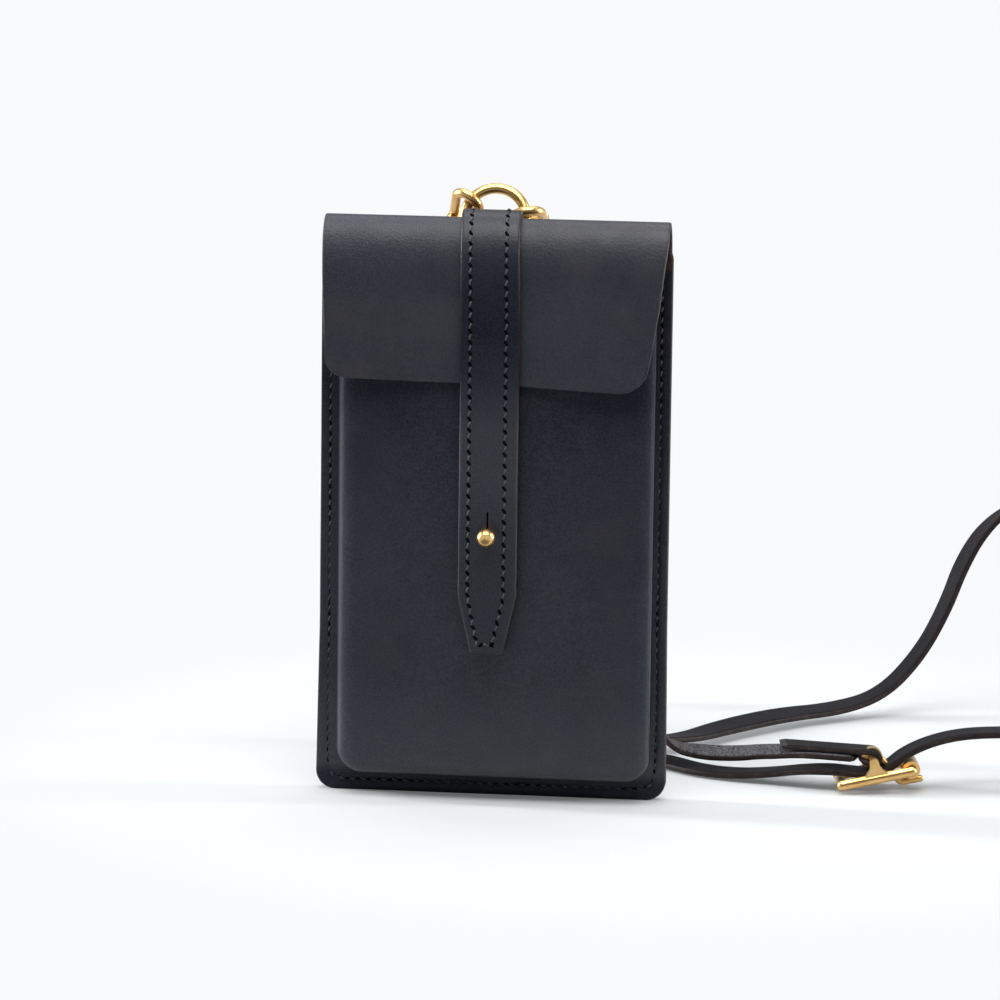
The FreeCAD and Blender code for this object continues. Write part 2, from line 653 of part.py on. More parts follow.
def buckle_prong():
    """Prong whose eye turns on the centre bar and whose tip lies under the roller."""
    inner = centre_bar_radius + prong_gap
    outer = inner + prong_eye_wall
    depth = -(roller_radius + prong_radius + prong_room)
    start = V(outer - prong_radius / 2, 0, centre_bar_rise - prong_radius)
    knee = V(bar_end - roller_radius - prong_radius, 0, depth)
    tip = V(bar_end + prong_overhang, 0, depth)
    bend = 2 * prong_radius
    into = (knee - start).normalize()
    out = V(1, 0, 0)
    half = into.getAngle(out) / 2
    reach = bend * math.tan(half)
    first = knee - into * reach
    last = knee + out * reach
    middle = knee + (out - into).normalize() * (bend / math.cos(half) - bend)
    path = [line(start, first), Part.Arc(first, middle, last).toShape(), line(last, tip)]
    shaft = swept(path, start, into, prong_radius)
    loop = bar_b(outer, 0, centre_bar_rise, prong_eye_width)
    prong = loop.fuse([shaft, Part.makeSphere(prong_radius, tip)])
    return prong.cut(bar_b(inner, 0, centre_bar_rise, 2 * prong_eye_width)).removeSplitter()


for name, make in {"buckle_frame": buckle_frame, "buckle_roller": buckle_roller,
                   "buckle_prong": buckle_prong}.items():
    piece = make()
    piece.Placement = buckle_axes
    shapes[name] = piece

# Shoulder strap: flat leather along straight runs joined by arcs


def stations(route):
    """Points along the strap's middle with tangent and width direction, and the bend radii."""
    places = []
    radii = []
    points = [point for point, edge in route]
    runs = [points[i + 1] - points[i] for i in range(len(points) - 1)]
    places.append((points[0], V(runs[0]).normalize(), 0.0))
    for i in range(1, len(points) - 1):
        into = V(runs[i - 1]).normalize()
        out = V(runs[i]).normalize()
        turn = into.getAngle(out)
        reach = run_share * min(runs[i - 1].Length, runs[i].Length)
        radius = reach / math.tan(turn / 2)
        radii.append(radius)
        first = points[i] - into * reach
        across_bend = (out - into * out.dot(into)).normalize()
        steps = max(1, math.ceil(math.degrees(turn) / arc_step))
        for step in range(steps + 1):
            angle = turn * step / steps
            place = first + into * (radius * math.sin(angle)) + across_bend * (radius * (1 - math.cos(angle)))
            tangent = into * math.cos(angle) + across_bend * math.sin(angle)
            before = reach / runs[i - 1].Length
            after = reach / runs[i].Length
            position = i - before + (before + after) * step / steps
            places.append((place, tangent, position))
    places.append((points[-1], V(runs[-1]).normalize(), len(points) - 1.0))
    return places, radii


def flat_strap(name, route):
    """Solid strap through rectangular sections; prints its length, bends and volume."""
    places, radii = stations(route)
    wires = []
    for place, tangent, position in places:
        low = min(int(position), len(route) - 2)
        part = position - low
        edge = route[low][1] * (1 - part) + route[low + 1][1] * part
        edge = (edge - tangent * edge.dot(tangent)).normalize() * (shoulder_width / 2)
        up = tangent.cross(edge).normalize() * (shoulder_thick / 2)
        corners = [place + edge + up, place - edge + up, place - edge - up, place + edge - up]
        wires.append(Part.makePolygon(corners + corners[:1]))
    strap = Part.makeLoft(wires, True, True)
    length = sum((places[i + 1][0] - places[i][0]).Length for i in range(len(places) - 1))
    print(name, "length", round(length, 1), "least radius", round(min(radii), 1),
          "volume share", round(strap.Volume / (length * shoulder_width * shoulder_thick), 4),
          "radii", [round(radius) for radius in radii])
    return strap


long_strap = flat_strap("long_strap", long_route)
slot_floor = centre_bar_rise / 2 - 2 * shoulder_thick
prong_slot = Part.makeBox(prong_slot_length, prong_slot_width, 4 * shoulder_thick,
                          V(-prong_slot_start, -prong_slot_width / 2, slot_floor))
prong_slot.Placement = buckle_axes.multiply(prong_slot.Placement)
shapes["long_strap"] = long_strap.cut(prong_slot)
shapes["short_strap"] = flat_strap("short_strap", short_route)


def buckle_fold():
    """Pared end of the short strap folded over the centre bar and sewn down on top."""
    inner = centre_bar_radius + fold_slack
    outer = inner + fold_leather
    width = shoulder_width
    loop = bar_b(outer, 0, centre_bar_rise, width).cut(bar_b(inner, 0, centre_bar_rise, 2 * width))
    loop.Placement = buckle_axes
    slot_left = centre_bar_radius + prong_gap + prong_eye_wall + 2 * fold_slack
    slot = Part.makeBox(slot_left + 2 * outer, prong_slot_width, 6 * outer,
                        V(-slot_left, -prong_slot_width / 2, centre_bar_rise - 3 * outer))
    slot.Placement = buckle_axes.multiply(slot.Placement)
    bar = buckle_axes.multVec(V(0, 0, centre_bar_rise))
    half_bar = buckle_turn.multVec(V(0, width / 2, 0))
    end_point = short_route[-1][0]
    back_point = short_route[-3][0]
    away = (back_point - end_point).normalize() * buckle_fold_leg
    above = V(0, 0, shoulder_thick / 2 + 2 * fold_slack)
    far = end_point + away + above
    near = V(bar.x, bar.y, bar.z + inner)
    rise = V(0, 0, fold_leather)
    profile = Part.Face(Part.makePolygon([near - half_bar, near + rise - half_bar, far + rise - half_bar,
                                          far - half_bar, near - half_bar]))
    leg = profile.extrude(half_bar * 2)
    return loop.fuse(leg).cut(slot)


shapes["buckle_fold"] = buckle_fold()

os.makedirs("parts", exist_ok=True)
for name, shape in shapes.items():
    shape.exportStep("parts/" + name + ".step")
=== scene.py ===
import bpy
import bmesh
import json
import math
from mathutils import Matrix, Vector, noise


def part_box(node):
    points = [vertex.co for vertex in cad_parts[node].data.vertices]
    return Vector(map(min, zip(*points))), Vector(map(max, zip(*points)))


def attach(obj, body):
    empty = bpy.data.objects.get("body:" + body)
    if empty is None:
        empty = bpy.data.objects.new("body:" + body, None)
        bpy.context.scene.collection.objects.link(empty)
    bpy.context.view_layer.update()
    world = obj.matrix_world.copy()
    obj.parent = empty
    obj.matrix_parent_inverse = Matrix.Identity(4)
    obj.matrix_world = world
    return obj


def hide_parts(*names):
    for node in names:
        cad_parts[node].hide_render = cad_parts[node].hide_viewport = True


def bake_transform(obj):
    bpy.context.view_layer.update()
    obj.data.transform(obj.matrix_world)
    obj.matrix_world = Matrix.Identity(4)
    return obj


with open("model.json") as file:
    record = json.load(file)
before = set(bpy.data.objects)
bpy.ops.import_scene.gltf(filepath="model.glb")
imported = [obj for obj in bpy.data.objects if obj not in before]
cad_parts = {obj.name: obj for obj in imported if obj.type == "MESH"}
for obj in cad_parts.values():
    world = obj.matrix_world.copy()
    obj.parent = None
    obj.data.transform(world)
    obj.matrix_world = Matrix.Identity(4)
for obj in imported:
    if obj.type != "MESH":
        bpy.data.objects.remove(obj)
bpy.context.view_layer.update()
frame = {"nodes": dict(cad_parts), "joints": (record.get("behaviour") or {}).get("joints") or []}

# Phone pouch in black leather. Lengths are in millimetres, and MM makes metres of them.

MM = 0.001


def box_mm(node):
    """Lowest and highest corner of a CAD node in millimetres."""
    low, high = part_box(node)
    return low / MM, high / MM


def joint(name):
    """The record's joint of that name."""
    return next(j for j in frame["joints"] if j["name"] == name)


def joint_place(name):
    """A joint's point in millimetres."""
    return Vector(joint(name)["pos_m"]) / MM


def joint_axis(name):
    """A joint's axis as a unit vector."""
    return Vector(joint(name)["axis"]).normalized()


rightward = Vector((1, 0, 0))
frontward = Vector((0, -1, 0))
backward = Vector((0, 1, 0))
upward = Vector((0, 0, 1))

panel_low, panel_high = box_mm("front_panel")
top_low, top_high = box_mm("flap_top")
closure_low, closure_high = box_mm("closure_strap_front")
stud_low, stud_high = box_mm("closure_stud")
ring_tab_low, ring_tab_high = box_mm("ring_tab")

# Pouch leather
half_width = 55.0
flare_left = -half_width - panel_low.x
flare_right = panel_high.x - half_width
flare_height = 55.0
mouth = panel_high.z
box_front = panel_low.y
leather = box_mm("back_panel")[1].y
side_flange = 5.5
bottom_flange = 6.4
corner_radius = 6.2
pocket_lean = 2.2            # the moulded face sits this far right of its foot
side_draft = math.radians(1.0)
bottom_draft = math.radians(10.0)
mould_corner = 7.6
mould_corner_shrink = 0.6    # how much tighter the moulded corner gets for each millimetre inwards
mould_edge_depth = 2.6       # crisp start of the soft edge at the wall
mould_edge_width = 4.8       # and its slow end on the face
mould_foot = 1.2             # hollow where the wall leaves the flange
edge_round = 0.55            # burnished edge
front_crown = 0.55           # how much the moulded face swells
face_pull = 1.3              # rings on the face come up from the bottom this much faster than from the sides
face_ripple = (0.045, 0.22)  # scale and depth of the hand-worked swelling
ripple_middle = 0.4          # share of it that is left in the middle of the face
stitch_inset = 3.1           # flange seam from the outer edge
groove_half = 0.8
groove_depth = 0.25
groove_shape = ((-1.0, 0.0), (-0.5, 0.6), (0.0, 1.0), (0.5, 0.6), (1.0, 0.0))

# Flap and folds
pouch_top = top_high.z
flap_face = box_mm("flap_front")[0].y
pouch_depth = leather - flap_face
back_fold = 0.60 * pouch_depth           # radii of the two folds
front_fold = 0.36 * pouch_depth
back_fold_z = pouch_top - back_fold
front_fold_z = pouch_top - front_fold
flap_left = top_low.x
flap_right = top_high.x
flap_left_taper = 1.6        # narrowing from the fold to the lower edge
flap_right_taper = 5.0
flap_slant = 2.8
flap_drop = 51.5             # top to the middle of the lower edge
flap_edge = pouch_top - flap_drop
flap_left_radius = 7.0
flap_right_radius = 9.5
flap_left_curl = 2.2         # how far the free lower edge stands off beside the closure strap
flap_right_curl = 3.6
flap_calm_share = 0.2        # middle share of the flap's width that stays flat under the strap
flap_ripple = (0.05, 0.18)
roll_height = 26.0           # the leather rolls over the mouth: height and depth of the roll in front
roll_depth = 11.0
roll_sag = 0.6               # it lies this much below the fold's height
roll_top = pouch_top - roll_sag
roll_start = roll_top - roll_height
roll_summit = flap_face + roll_depth

# Closure strap
half_strap = closure_high.x
strap_layer = closure_high.y - closure_low.y
strap_face = closure_low.y
tab_top = closure_low.z
tab_tip = box_mm("closure_tab")[0].z
tab_tip_half = 5.0
tab_taper = 18.0
keyhole_radius = 1.9
slit_length = 5.6
slit_width = 0.6
closure_start = 44.0         # degrees on the roll where the strap begins behind the top
closure_seam_left = 3.1      # seams from the strap's edges
closure_seam_right = 4.0
cross_left = (-2.9, 2.7)     # ends of the cross stitch: x from the middle and height above the tip
cross_right = (1.8, 3.0)
ridge_shift = -1.2           # the strap goes over the ridge this far beside its middle
ridge_press = 0.7            # how much thinner the layers lie over the ridge
ridge_degrees = 85.0         # middle of the ridge on the roll, and its reach to both sides
ridge_reach = 45.0
closure_bevel = 1.8          # edge rounding against that of the other leather

# Shoulder strap and ring tab
shoulder_width = 10.0
shoulder_thick = 2.0
strap_point_length = 9.0     # rounded tip of the long strap, and its width at the very end as a share
strap_point_share = 0.30
fold_leather = 1.5
eye_bar_reach = 28.1         # ring wire to the far bar of a hook's eye
eye_bar_radius = 1.2
fold_slack = 0.2
fold_leg = 15.9
centre_bar_radius = 1.3
buckle_fold_leg = 26.0
ring_tab_half = 0.8          # half of its leather
ring_tab_rise = 0.3          # middle of its loop above the ring's pivot
ring_tab_wrap = 237.6        # degrees that it goes round the ring
ring_tab_close = 2.2         # loop radii below the middle where its two layers meet

# Thread
thread_pitch = 3.4
thread_radius = 0.32
thread_share = 0.62          # visible stitch in a pitch
thread_slant = math.radians(20.0)
stitch_lift = 0.7            # height of a stitch's middle in radii
stitch_drop = 1.3            # drop of its ends in radii
stitch_thin = 0.35           # how much thinner its ends are
stitch_flat = 0.8            # height against width
hole_length = 2.0
hole_width = 1.05
hole_depth = 0.3
hole_slant = math.radians(36.0)
hole_rims = ((1.0, 0.03), (0.6, 0.06))   # size against the hole, and height above the leather
closure_pitch = 3.5
seam_top_gap = 4.0           # flange seam's end below the mouth

# Smoothing: faces that meet at a smaller angle than this are shaded as one
sheet_smooth = math.radians(38.0)
thread_smooth = math.radians(80.0)

# Shoulder strap routes: middle of the strap, and the way from there to one of its edges
long_route = [
    ((-15.84, 36.34, 167.82), (-0.87, 0.19, 0.46)),
    ((-18.1, 49.6, 156.7), (-0.9, 0.15, 0.38)),
    ((-19.0, 60.5, 139.0), (-0.97, 0.1, 0.2)),
    ((-16.5, 68.0, 113.0), (-1.0, 0.1, 0.0)),
    ((-10.5, 71.5, 84.0), (-1.0, 0.2, 0.0)),
    ((0.0, 70.5, 56.0), (-0.9, 0.4, 0.0)),
    ((12.5, 65.5, 31.5), (-0.7, 0.7, 0.0)),
    ((27.5, 60.0, 14.0), (-0.5, 0.85, -0.1)),
    ((41.5, 60.5, 6.0), (-0.5, 0.8, -0.12)),
    ((55.0, 72.5, 3.6), (-0.75, 0.5, -0.05)),
    ((68.5, 94.0, 3.9), (-0.8, 0.5, 0.1)),
    ((85.0, 113.0, 4.3), (-0.7, 0.6, 0.12)),
    ((103.0, 128.0, 3.8), (-0.6, 0.7, 0.05)),
    ((117.5, 137.0, 7.7), (-0.45, 0.85, -0.1)),
    ((129.5, 142.0, 21.0), (-0.28, 0.94, 0.08)),
    ((137.5, 143.5, 37.0), (-0.3, 0.93, 0.12)),
    ((142.5, 142.5, 52.0), (-0.33, 0.92, 0.17)),
    ((150.0, 139.0, 65.5), (-0.2, 0.95, 0.1)),
    ((163.0, 132.0, 77.0), (0.1, 0.95, -0.1)),
    ((180.0, 122.5, 85.0), (0.35, 0.87, -0.2)),
    ((199.0, 110.5, 88.0), (0.52, 0.78, -0.32)),
    ((217.0, 95.0, 84.0), (0.68, 0.62, -0.38)),
    ((229.5, 77.0, 72.5), (0.82, 0.45, -0.36)),
    ((233.0, 58.5, 55.0), (0.9, 0.1, -0.42)),
    ((226.5, 43.5, 38.0), (0.65, -0.55, -0.4)),
    ((212.0, 35.5, 26.0), (0.3, -0.9, -0.2)),
    ((195.0, 33.0, 20.0), (0.15, -0.98, -0.05)),
    ((178.0, 34.2, 18.2), (0.05, -1.0, 0.0)),
    ((161.0, 35.5, 18.2), (0.1, -1.0, 0.0)),
    ((147.0, 33.0, 17.6), (0.1, -1.0, 0.0)),
    ((137.0, 30.0, 15.4), (0.15, -1.0, 0.0)),
    ((129.0, 27.8, 11.7), (0.2, -1.0, 0.0)),
    ((123.8, 26.6, 7.0), (0.2, -1.0, 0.0)),
    ((117.5, 25.2, 5.4), (0.2, -1.0, 0.0)),
    ((108.5, 23.4, 6.6), (0.1, -1.0, 0.0)),
    ((98.5, 26.0, 5.9), (-0.3, -0.95, 0.0)),
    ((87.5, 30.2, 3.4), (-0.3, -0.95, 0.0)),
    ((76.0, 32.6, 1.9), (-0.3, -0.95, 0.0)),
    ((64.5, 37.0, 1.5), (-0.5, -0.85, 0.0)),
    ((54.5, 45.5, 1.5), (-0.65, -0.75, 0.0)),
    ((47.0, 54.0, 1.4), (-0.7, -0.7, 0.0)),
]
short_route = [
    ((8.17, 39.65, 171.86), (0.99, 0.06, 0.14)),
    ((8.7, 56.4, 164.4), (0.99, 0.0, 0.1)),
    ((10.8, 70.2, 144.4), (1.0, 0.0, 0.0)),
    ((16.0, 76.0, 114.0), (1.0, -0.1, 0.0)),
    ((22.0, 74.0, 82.0), (0.95, -0.3, 0.0)),
    ((28.5, 67.0, 53.0), (0.85, -0.5, 0.0)),
    ((35.5, 58.5, 29.5), (0.7, -0.7, 0.0)),
    ((43.5, 52.5, 14.0), (0.5, -0.85, 0.0)),
    ((53.5, 48.5, 6.7), (0.4, -0.9, -0.06)),
    ((64.0, 44.5, 5.8), (0.35, -0.94, -0.1)),
    ((74.5, 41.0, 6.6), (0.35, -0.94, -0.06)),
    ((84.5, 37.0, 8.6), (0.35, -0.94, 0.0)),
    ((94.5, 31.0, 10.3), (0.4, -0.9, 0.0)),
    ((104.5, 27.8, 10.6), (0.3, -0.95, 0.0)),
    ((114.7, 26.0, 10.5), (0.1, -0.99, 0.0)),
]

# Camera, fitted to the photograph
camera_target = Vector((0.0, -6.0, 92.0))
camera_distance = 1800.0
camera_elevation = math.radians(10.274)
camera_yaw = math.radians(6.452)
camera_roll = math.radians(0.715)
camera_lens = 206.89
camera_sensor = 36.0
camera_shift = (0.0076, 0.0110)
camera_reach = 50.0          # metres

# Studio, in metres: lamps are (name, place, size, watts, colour)
lamp_aim = Vector((0.0, 0.0, 0.09))
top_light = (1.0, 0.99, 0.98)
side_light = (0.97, 0.99, 1.0)
lamps = (
    ("front_lamp", (0.0, -0.62, 1.55), (1.4, 0.9), 33.0, top_light),
    ("back_lamp", (0.0, 0.55, 1.6), (1.4, 0.7), 13.0, top_light),
    ("left_lamp", (-1.7, 0.15, 0.6), (0.1, 1.2), 50.0, side_light),
    ("right_lamp", (1.7, 0.15, 0.6), (0.1, 1.2), 32.0, side_light),
)
world_colour = (0.93, 0.97, 1.0)
world_levels = (0.08, 0.60)  # behind the camera and behind the object
world_turns = (-0.8, 0.5)    # how far to the back a direction points where these levels are reached
floor_half = 8.0
floor_colour = (0.433, 0.445, 0.456)
floor_glow = (0.945, 0.955, 0.965)
shadow_middle = (0.05, 0.05, 0.0)
shadow_radii = (0.10, 0.24)  # the floor keeps its shadow inside the first and is plain white past the second
white_shares = (0.12, 1.0)


# Camera and studio

def add_object(name, data):
    """Object with that data, linked to the scene."""
    thing = bpy.data.objects.new(name, data)
    bpy.context.scene.collection.objects.link(thing)
    return thing


def add_camera():
    """Camera at the photograph's viewing angle."""
    across = Vector((math.cos(camera_yaw), math.sin(camera_yaw), 0))
    back = across.cross(upward) * math.cos(camera_elevation) + upward * math.sin(camera_elevation)
    right = across * math.cos(camera_roll) + back.cross(across) * math.sin(camera_roll)
    data = bpy.data.cameras.new("camera")
    data.lens = camera_lens
    data.sensor_width = camera_sensor
    data.shift_x, data.shift_y = camera_shift
    data.clip_end = camera_reach
    camera = add_object("camera", data)
    turn = Matrix((right, back.cross(right), back)).transposed().to_4x4()
    camera.matrix_world = Matrix.Translation((camera_target + back * camera_distance) * MM) @ turn
    bpy.context.scene.camera = camera


def add_surroundings():
    """Studio surroundings by direction: dim behind the camera, brighter behind the object."""
    world = bpy.data.worlds.new("studio")
    bpy.context.scene.world = world
    world.use_nodes = True
    tree = world.node_tree
    parts = add_node(tree, "SeparateXYZ", Vector=add_node(tree, "TexCoord").outputs["Generated"])
    level = scaled(tree, parts.outputs["Y"], *world_levels, *world_turns)
    set_inputs(tree.nodes["Background"], Color=(*world_colour, 1.0), Strength=level)


def add_studio():
    """White floor that keeps the shadow, four soft rectangular lamps and the surroundings."""
    bpy.context.scene.view_settings.view_transform = "Standard"
    add_surroundings()
    for name, place, size, watts, colour in lamps:
        data = bpy.data.lights.new(name, "AREA")
        data.shape = "RECTANGLE"
        data.size, data.size_y = size
        data.energy = watts
        data.color = colour
        lamp = add_object(name, data)
        lamp.location = place
        lamp.rotation_euler = (lamp_aim - Vector(place)).to_track_quat("-Z", "Y").to_euler()
    mesh = bpy.data.meshes.new("floor")
    corners = ((-1, -1), (1, -1), (1, 1), (-1, 1))
    mesh.from_pydata([(x * floor_half, y * floor_half, 0) for x, y in corners], [], [(0, 1, 2, 3)])
    mesh.materials.append(floor_paper())
    add_object("floor", mesh)


# Shader helpers

def new_material(name):
    """Node material with one Principled shader; gives the material, its tree and the shader."""
    material = bpy.data.materials.new(name)
    material.use_nodes = True
    tree = material.node_tree
    return material, tree, tree.nodes["Principled BSDF"]


def set_inputs(node, **inputs):
    """Inputs of a node by name, with _ for a space: a socket is linked, anything else is a constant."""
    for key, value in inputs.items():
        target = node.inputs[key.replace("_", " ")]
        if isinstance(value, bpy.types.NodeSocket):
            node.id_data.links.new(value, target)
        else:
            target.default_value = value


def add_node(tree, kind, **inputs):
    """Node of that kind with its inputs by name."""
    node = tree.nodes.new("ShaderNode" + kind)
    set_inputs(node, **inputs)
    return node


def place_texture(tree, stretch=(1.0, 1.0, 1.0)):
    """Texture coordinates fixed to the piece, in metres, times a stretch."""
    socket = add_node(tree, "TexCoord").outputs["Object"]
    return add_node(tree, "Mapping", Vector=socket, Scale=stretch).outputs["Vector"]


def noise_at(tree, coords, scale, detail=4.0, roughness=0.55):
    """Noise value over coords."""
    node = add_node(tree, "TexNoise", Vector=coords, Scale=scale, Detail=detail, Roughness=roughness)
    return node.outputs["Fac"]


def combined(tree, operation, first, second):
    """Two value sockets made one by a mathematical operation."""
    node = add_node(tree, "Math")
    node.operation = operation
    for target, socket in zip(node.inputs, (first, second)):
        tree.links.new(socket, target)
    return node.outputs["Value"]


def scaled(tree, value, low, high, start=0.0, end=1.0):
    """Value between start and end spread over low to high."""
    node = add_node(tree, "MapRange", Value=value, From_Min=start, From_Max=end, To_Min=low, To_Max=high)
    return node.outputs["Result"]


def ramp(tree, value, stops):
    """Colour ramp with stops (position, colour)."""
    node = add_node(tree, "ValToRGB", Fac=value)
    elements = node.color_ramp.elements
    while len(elements) < len(stops):
        elements.new(0.5)
    for element, (position, colour) in zip(elements, stops):
        element.position = position
        element.color = (*colour, 1.0)
    return node.outputs["Color"]


def mix_colour(tree, share, first, second):
    """Mix of two colour sockets by a value socket."""
    node = add_node(tree, "Mix")
    node.data_type = "RGBA"
    set_inputs(node, Factor=share, A=first, B=second)
    return node.outputs["Result"]


def bumps(tree, heights):
    """Normal from a chain of bumps (height socket, strength, distance in metres)."""
    normal = {}
    for height, strength, distance in heights:
        bump = add_node(tree, "Bump", Height=height, Strength=strength, Distance=distance, **normal)
        normal = {"Normal": bump.outputs["Normal"]}
    return bump.outputs["Normal"]


# Materials

black = (0.0, 0.0, 0.0)
white = (1.0, 1.0, 1.0)


def floor_paper():
    """White paper sweep; seen directly it is white further out and keeps the shadow near the object."""
    material, tree, shader = new_material("floor_paper")
    set_inputs(shader, Base_Color=(*floor_colour, 1.0), Roughness=0.9, Specular_IOR_Level=0.1)
    glow = add_node(tree, "Emission", Color=(*floor_glow, 1.0))
    far = add_node(tree, "VectorMath")
    far.operation = "DISTANCE"
    tree.links.new(place_texture(tree), far.inputs[0])
    far.inputs[1].default_value = shadow_middle
    white_share = scaled(tree, far.outputs["Value"], *white_shares, *shadow_radii)
    light_path = add_node(tree, "LightPath")
    seen = light_path.outputs["Is Camera Ray"]
    for way in ("Is Glossy Ray", "Is Transmission Ray"):
        seen = combined(tree, "MAXIMUM", seen, light_path.outputs[way])
    both = add_node(tree, "MixShader", Fac=combined(tree, "MULTIPLY", seen, white_share))
    tree.links.new(shader.outputs["BSDF"], both.inputs[1])
    tree.links.new(glow.outputs["Emission"], both.inputs[2])
    set_inputs(tree.nodes["Material Output"], Surface=both.outputs["Shader"])
    return material


def grain_leather(name, tones, roughness, shine, warm_share=0.4):
    """Smooth waxed grain side: fine pores, soft cloudiness, warm patches and a few rub marks."""
    material, tree, shader = new_material(name)
    dark, light, warm = tones
    coords = place_texture(tree)
    cloud_share = scaled(tree, noise_at(tree, coords, 38.0, 5.0, 0.6), -0.2, 0.7)
    fleck_share = scaled(tree, noise_at(tree, coords, 1700.0, 2.0, 0.6), -0.9, 1.4)
    clouds = ramp(tree, combined(tree, "ADD", cloud_share, fleck_share), [(0.1, dark), (0.9, light)])
    warm_colour = ramp(tree, noise_at(tree, coords, 90.0), [(0.3, dark), (0.8, warm)])
    patches = scaled(tree, noise_at(tree, coords, 14.0, 2.0), -0.9 * warm_share, 2.2 * warm_share)
    base = mix_colour(tree, patches, clouds, warm_colour)
    rubbed = noise_at(tree, place_texture(tree, (90.0, 90.0, 900.0)), 2.0, 6.0, 0.7)
    marks = ramp(tree, rubbed, [(0.62, black), (0.78, (0.16, 0.16, 0.16))])
    lighter = add_node(tree, "RGB").outputs["Color"]
    lighter.default_value = (light[0] * 2.2, light[1] * 2.1, light[2] * 2.0, 1.0)
    polish = scaled(tree, noise_at(tree, coords, 60.0, 6.0), roughness - 0.10, roughness + 0.12)
    pores = add_node(tree, "TexVoronoi", Vector=coords, Scale=1500.0).outputs["Distance"]
    relief = bumps(tree, [(noise_at(tree, coords, 130.0, 2.0), 0.05, 0.002), (pores, 0.22, 0.0002),
                          (noise_at(tree, coords, 2900.0, 3.0), 0.30, 0.0001)])
    set_inputs(shader, Base_Color=mix_colour(tree, marks, base, lighter), Roughness=polish,
               Specular_IOR_Level=shine, Normal=relief)
    return material


def worn_by_height(material, shines):
    """Shine by height in millimetres, where hands and the flap's edge have worked the leather."""
    tree = material.node_tree
    parts = add_node(tree, "SeparateXYZ", Vector=place_texture(tree))
    height = scaled(tree, parts.outputs["Z"], 0.0, 1.0, end=pouch_top * MM)
    shine = ramp(tree, height, [(z / pouch_top, (level,) * 3) for z, level in shines])
    set_inputs(tree.nodes["Principled BSDF"], Specular_IOR_Level=shine)
    return material


def flesh_leather(name, dark, light):
    """Fuzzy flesh side with loose fibres along and across."""
    material, tree, shader = new_material(name)
    coords = place_texture(tree)
    mottled = noise_at(tree, coords, 1000.0, 6.0, 0.7)
    streaks = noise_at(tree, place_texture(tree, (1.0, 1.0, 0.35)), 1300.0, 4.0, 0.65)
    tone = ramp(tree, mottled, [(0.38, dark), (0.66, light)])
    streak_tone = ramp(tree, streaks, [(0.40, dark), (0.64, light)])
    share = ramp(tree, noise_at(tree, coords, 160.0), [(0.42, black), (0.58, white)])
    set_inputs(shader, Base_Color=mix_colour(tree, share, tone, streak_tone), Roughness=0.92,
               Specular_IOR_Level=0.05, Sheen_Weight=0.04, Sheen_Roughness=0.5,
               Normal=bumps(tree, [(mottled, 0.6, 0.0006), (streaks, 0.5, 0.0003)]))
    return material


def burnished_edge(name, tones):
    """Cut edge, dyed and rubbed: dark brown with a dull shine and faint layers."""
    material, tree, shader = new_material(name)
    coords = place_texture(tree)
    tone = ramp(tree, noise_at(tree, coords, 260.0, 6.0, 0.65), list(zip((0.3, 0.6, 0.85), tones)))
    polish = scaled(tree, noise_at(tree, coords, 500.0), 0.35, 0.65)
    set_inputs(shader, Base_Color=tone, Roughness=polish, Specular_IOR_Level=0.15,
               Normal=bumps(tree, [(noise_at(tree, coords, 1400.0, 5.0), 0.35, 0.0003)]))
    return material


def waxed_thread():
    """Black waxed linen thread with a twist."""
    material, tree, shader = new_material("waxed_thread")
    coords = place_texture(tree)
    stops = [(0.3, (0.018, 0.018, 0.022)), (0.75, (0.058, 0.058, 0.068))]
    twist = add_node(tree, "TexWave", Vector=coords, Scale=900.0, Distortion=1.5)
    twist.bands_direction = "DIAGONAL"
    set_inputs(shader, Base_Color=ramp(tree, noise_at(tree, coords, 1500.0), stops), Roughness=0.5,
               Specular_IOR_Level=0.45, Normal=bumps(tree, [(twist.outputs["Fac"], 0.5, 0.0002)]))
    return material


def painted_hole_shade():
    """Painted shade: a near-black colour that stands in for the shadow inside an awl hole."""
    material, tree, shader = new_material("awl_hole_painted_shade")
    stops = [(0.3, (0.002, 0.002, 0.002)), (0.8, (0.006, 0.005, 0.005))]
    tone = ramp(tree, noise_at(tree, place_texture(tree), 900.0), stops)
    set_inputs(shader, Base_Color=tone, Roughness=0.95, Specular_IOR_Level=0.0)
    return material


def metal(name, dark, light, roughness=0.30):
    """Polished metal with fine scratches, faint tarnish and softened shine."""
    material, tree, shader = new_material(name)
    coords = place_texture(tree)
    tone = ramp(tree, noise_at(tree, coords, 220.0, 5.0, 0.6), [(0.3, dark), (0.7, light)])
    polish = scaled(tree, noise_at(tree, coords, 340.0, 6.0), roughness - 0.06, roughness + 0.10)
    scratches = noise_at(tree, place_texture(tree, (1.0, 1.0, 9.0)), 900.0, 4.0, 0.7)
    dents = noise_at(tree, coords, 180.0, 2.0)
    set_inputs(shader, Base_Color=tone, Roughness=polish, Metallic=1.0,
               Normal=bumps(tree, [(scratches, 0.03, 0.0001), (dents, 0.02, 0.0004)]))
    return material


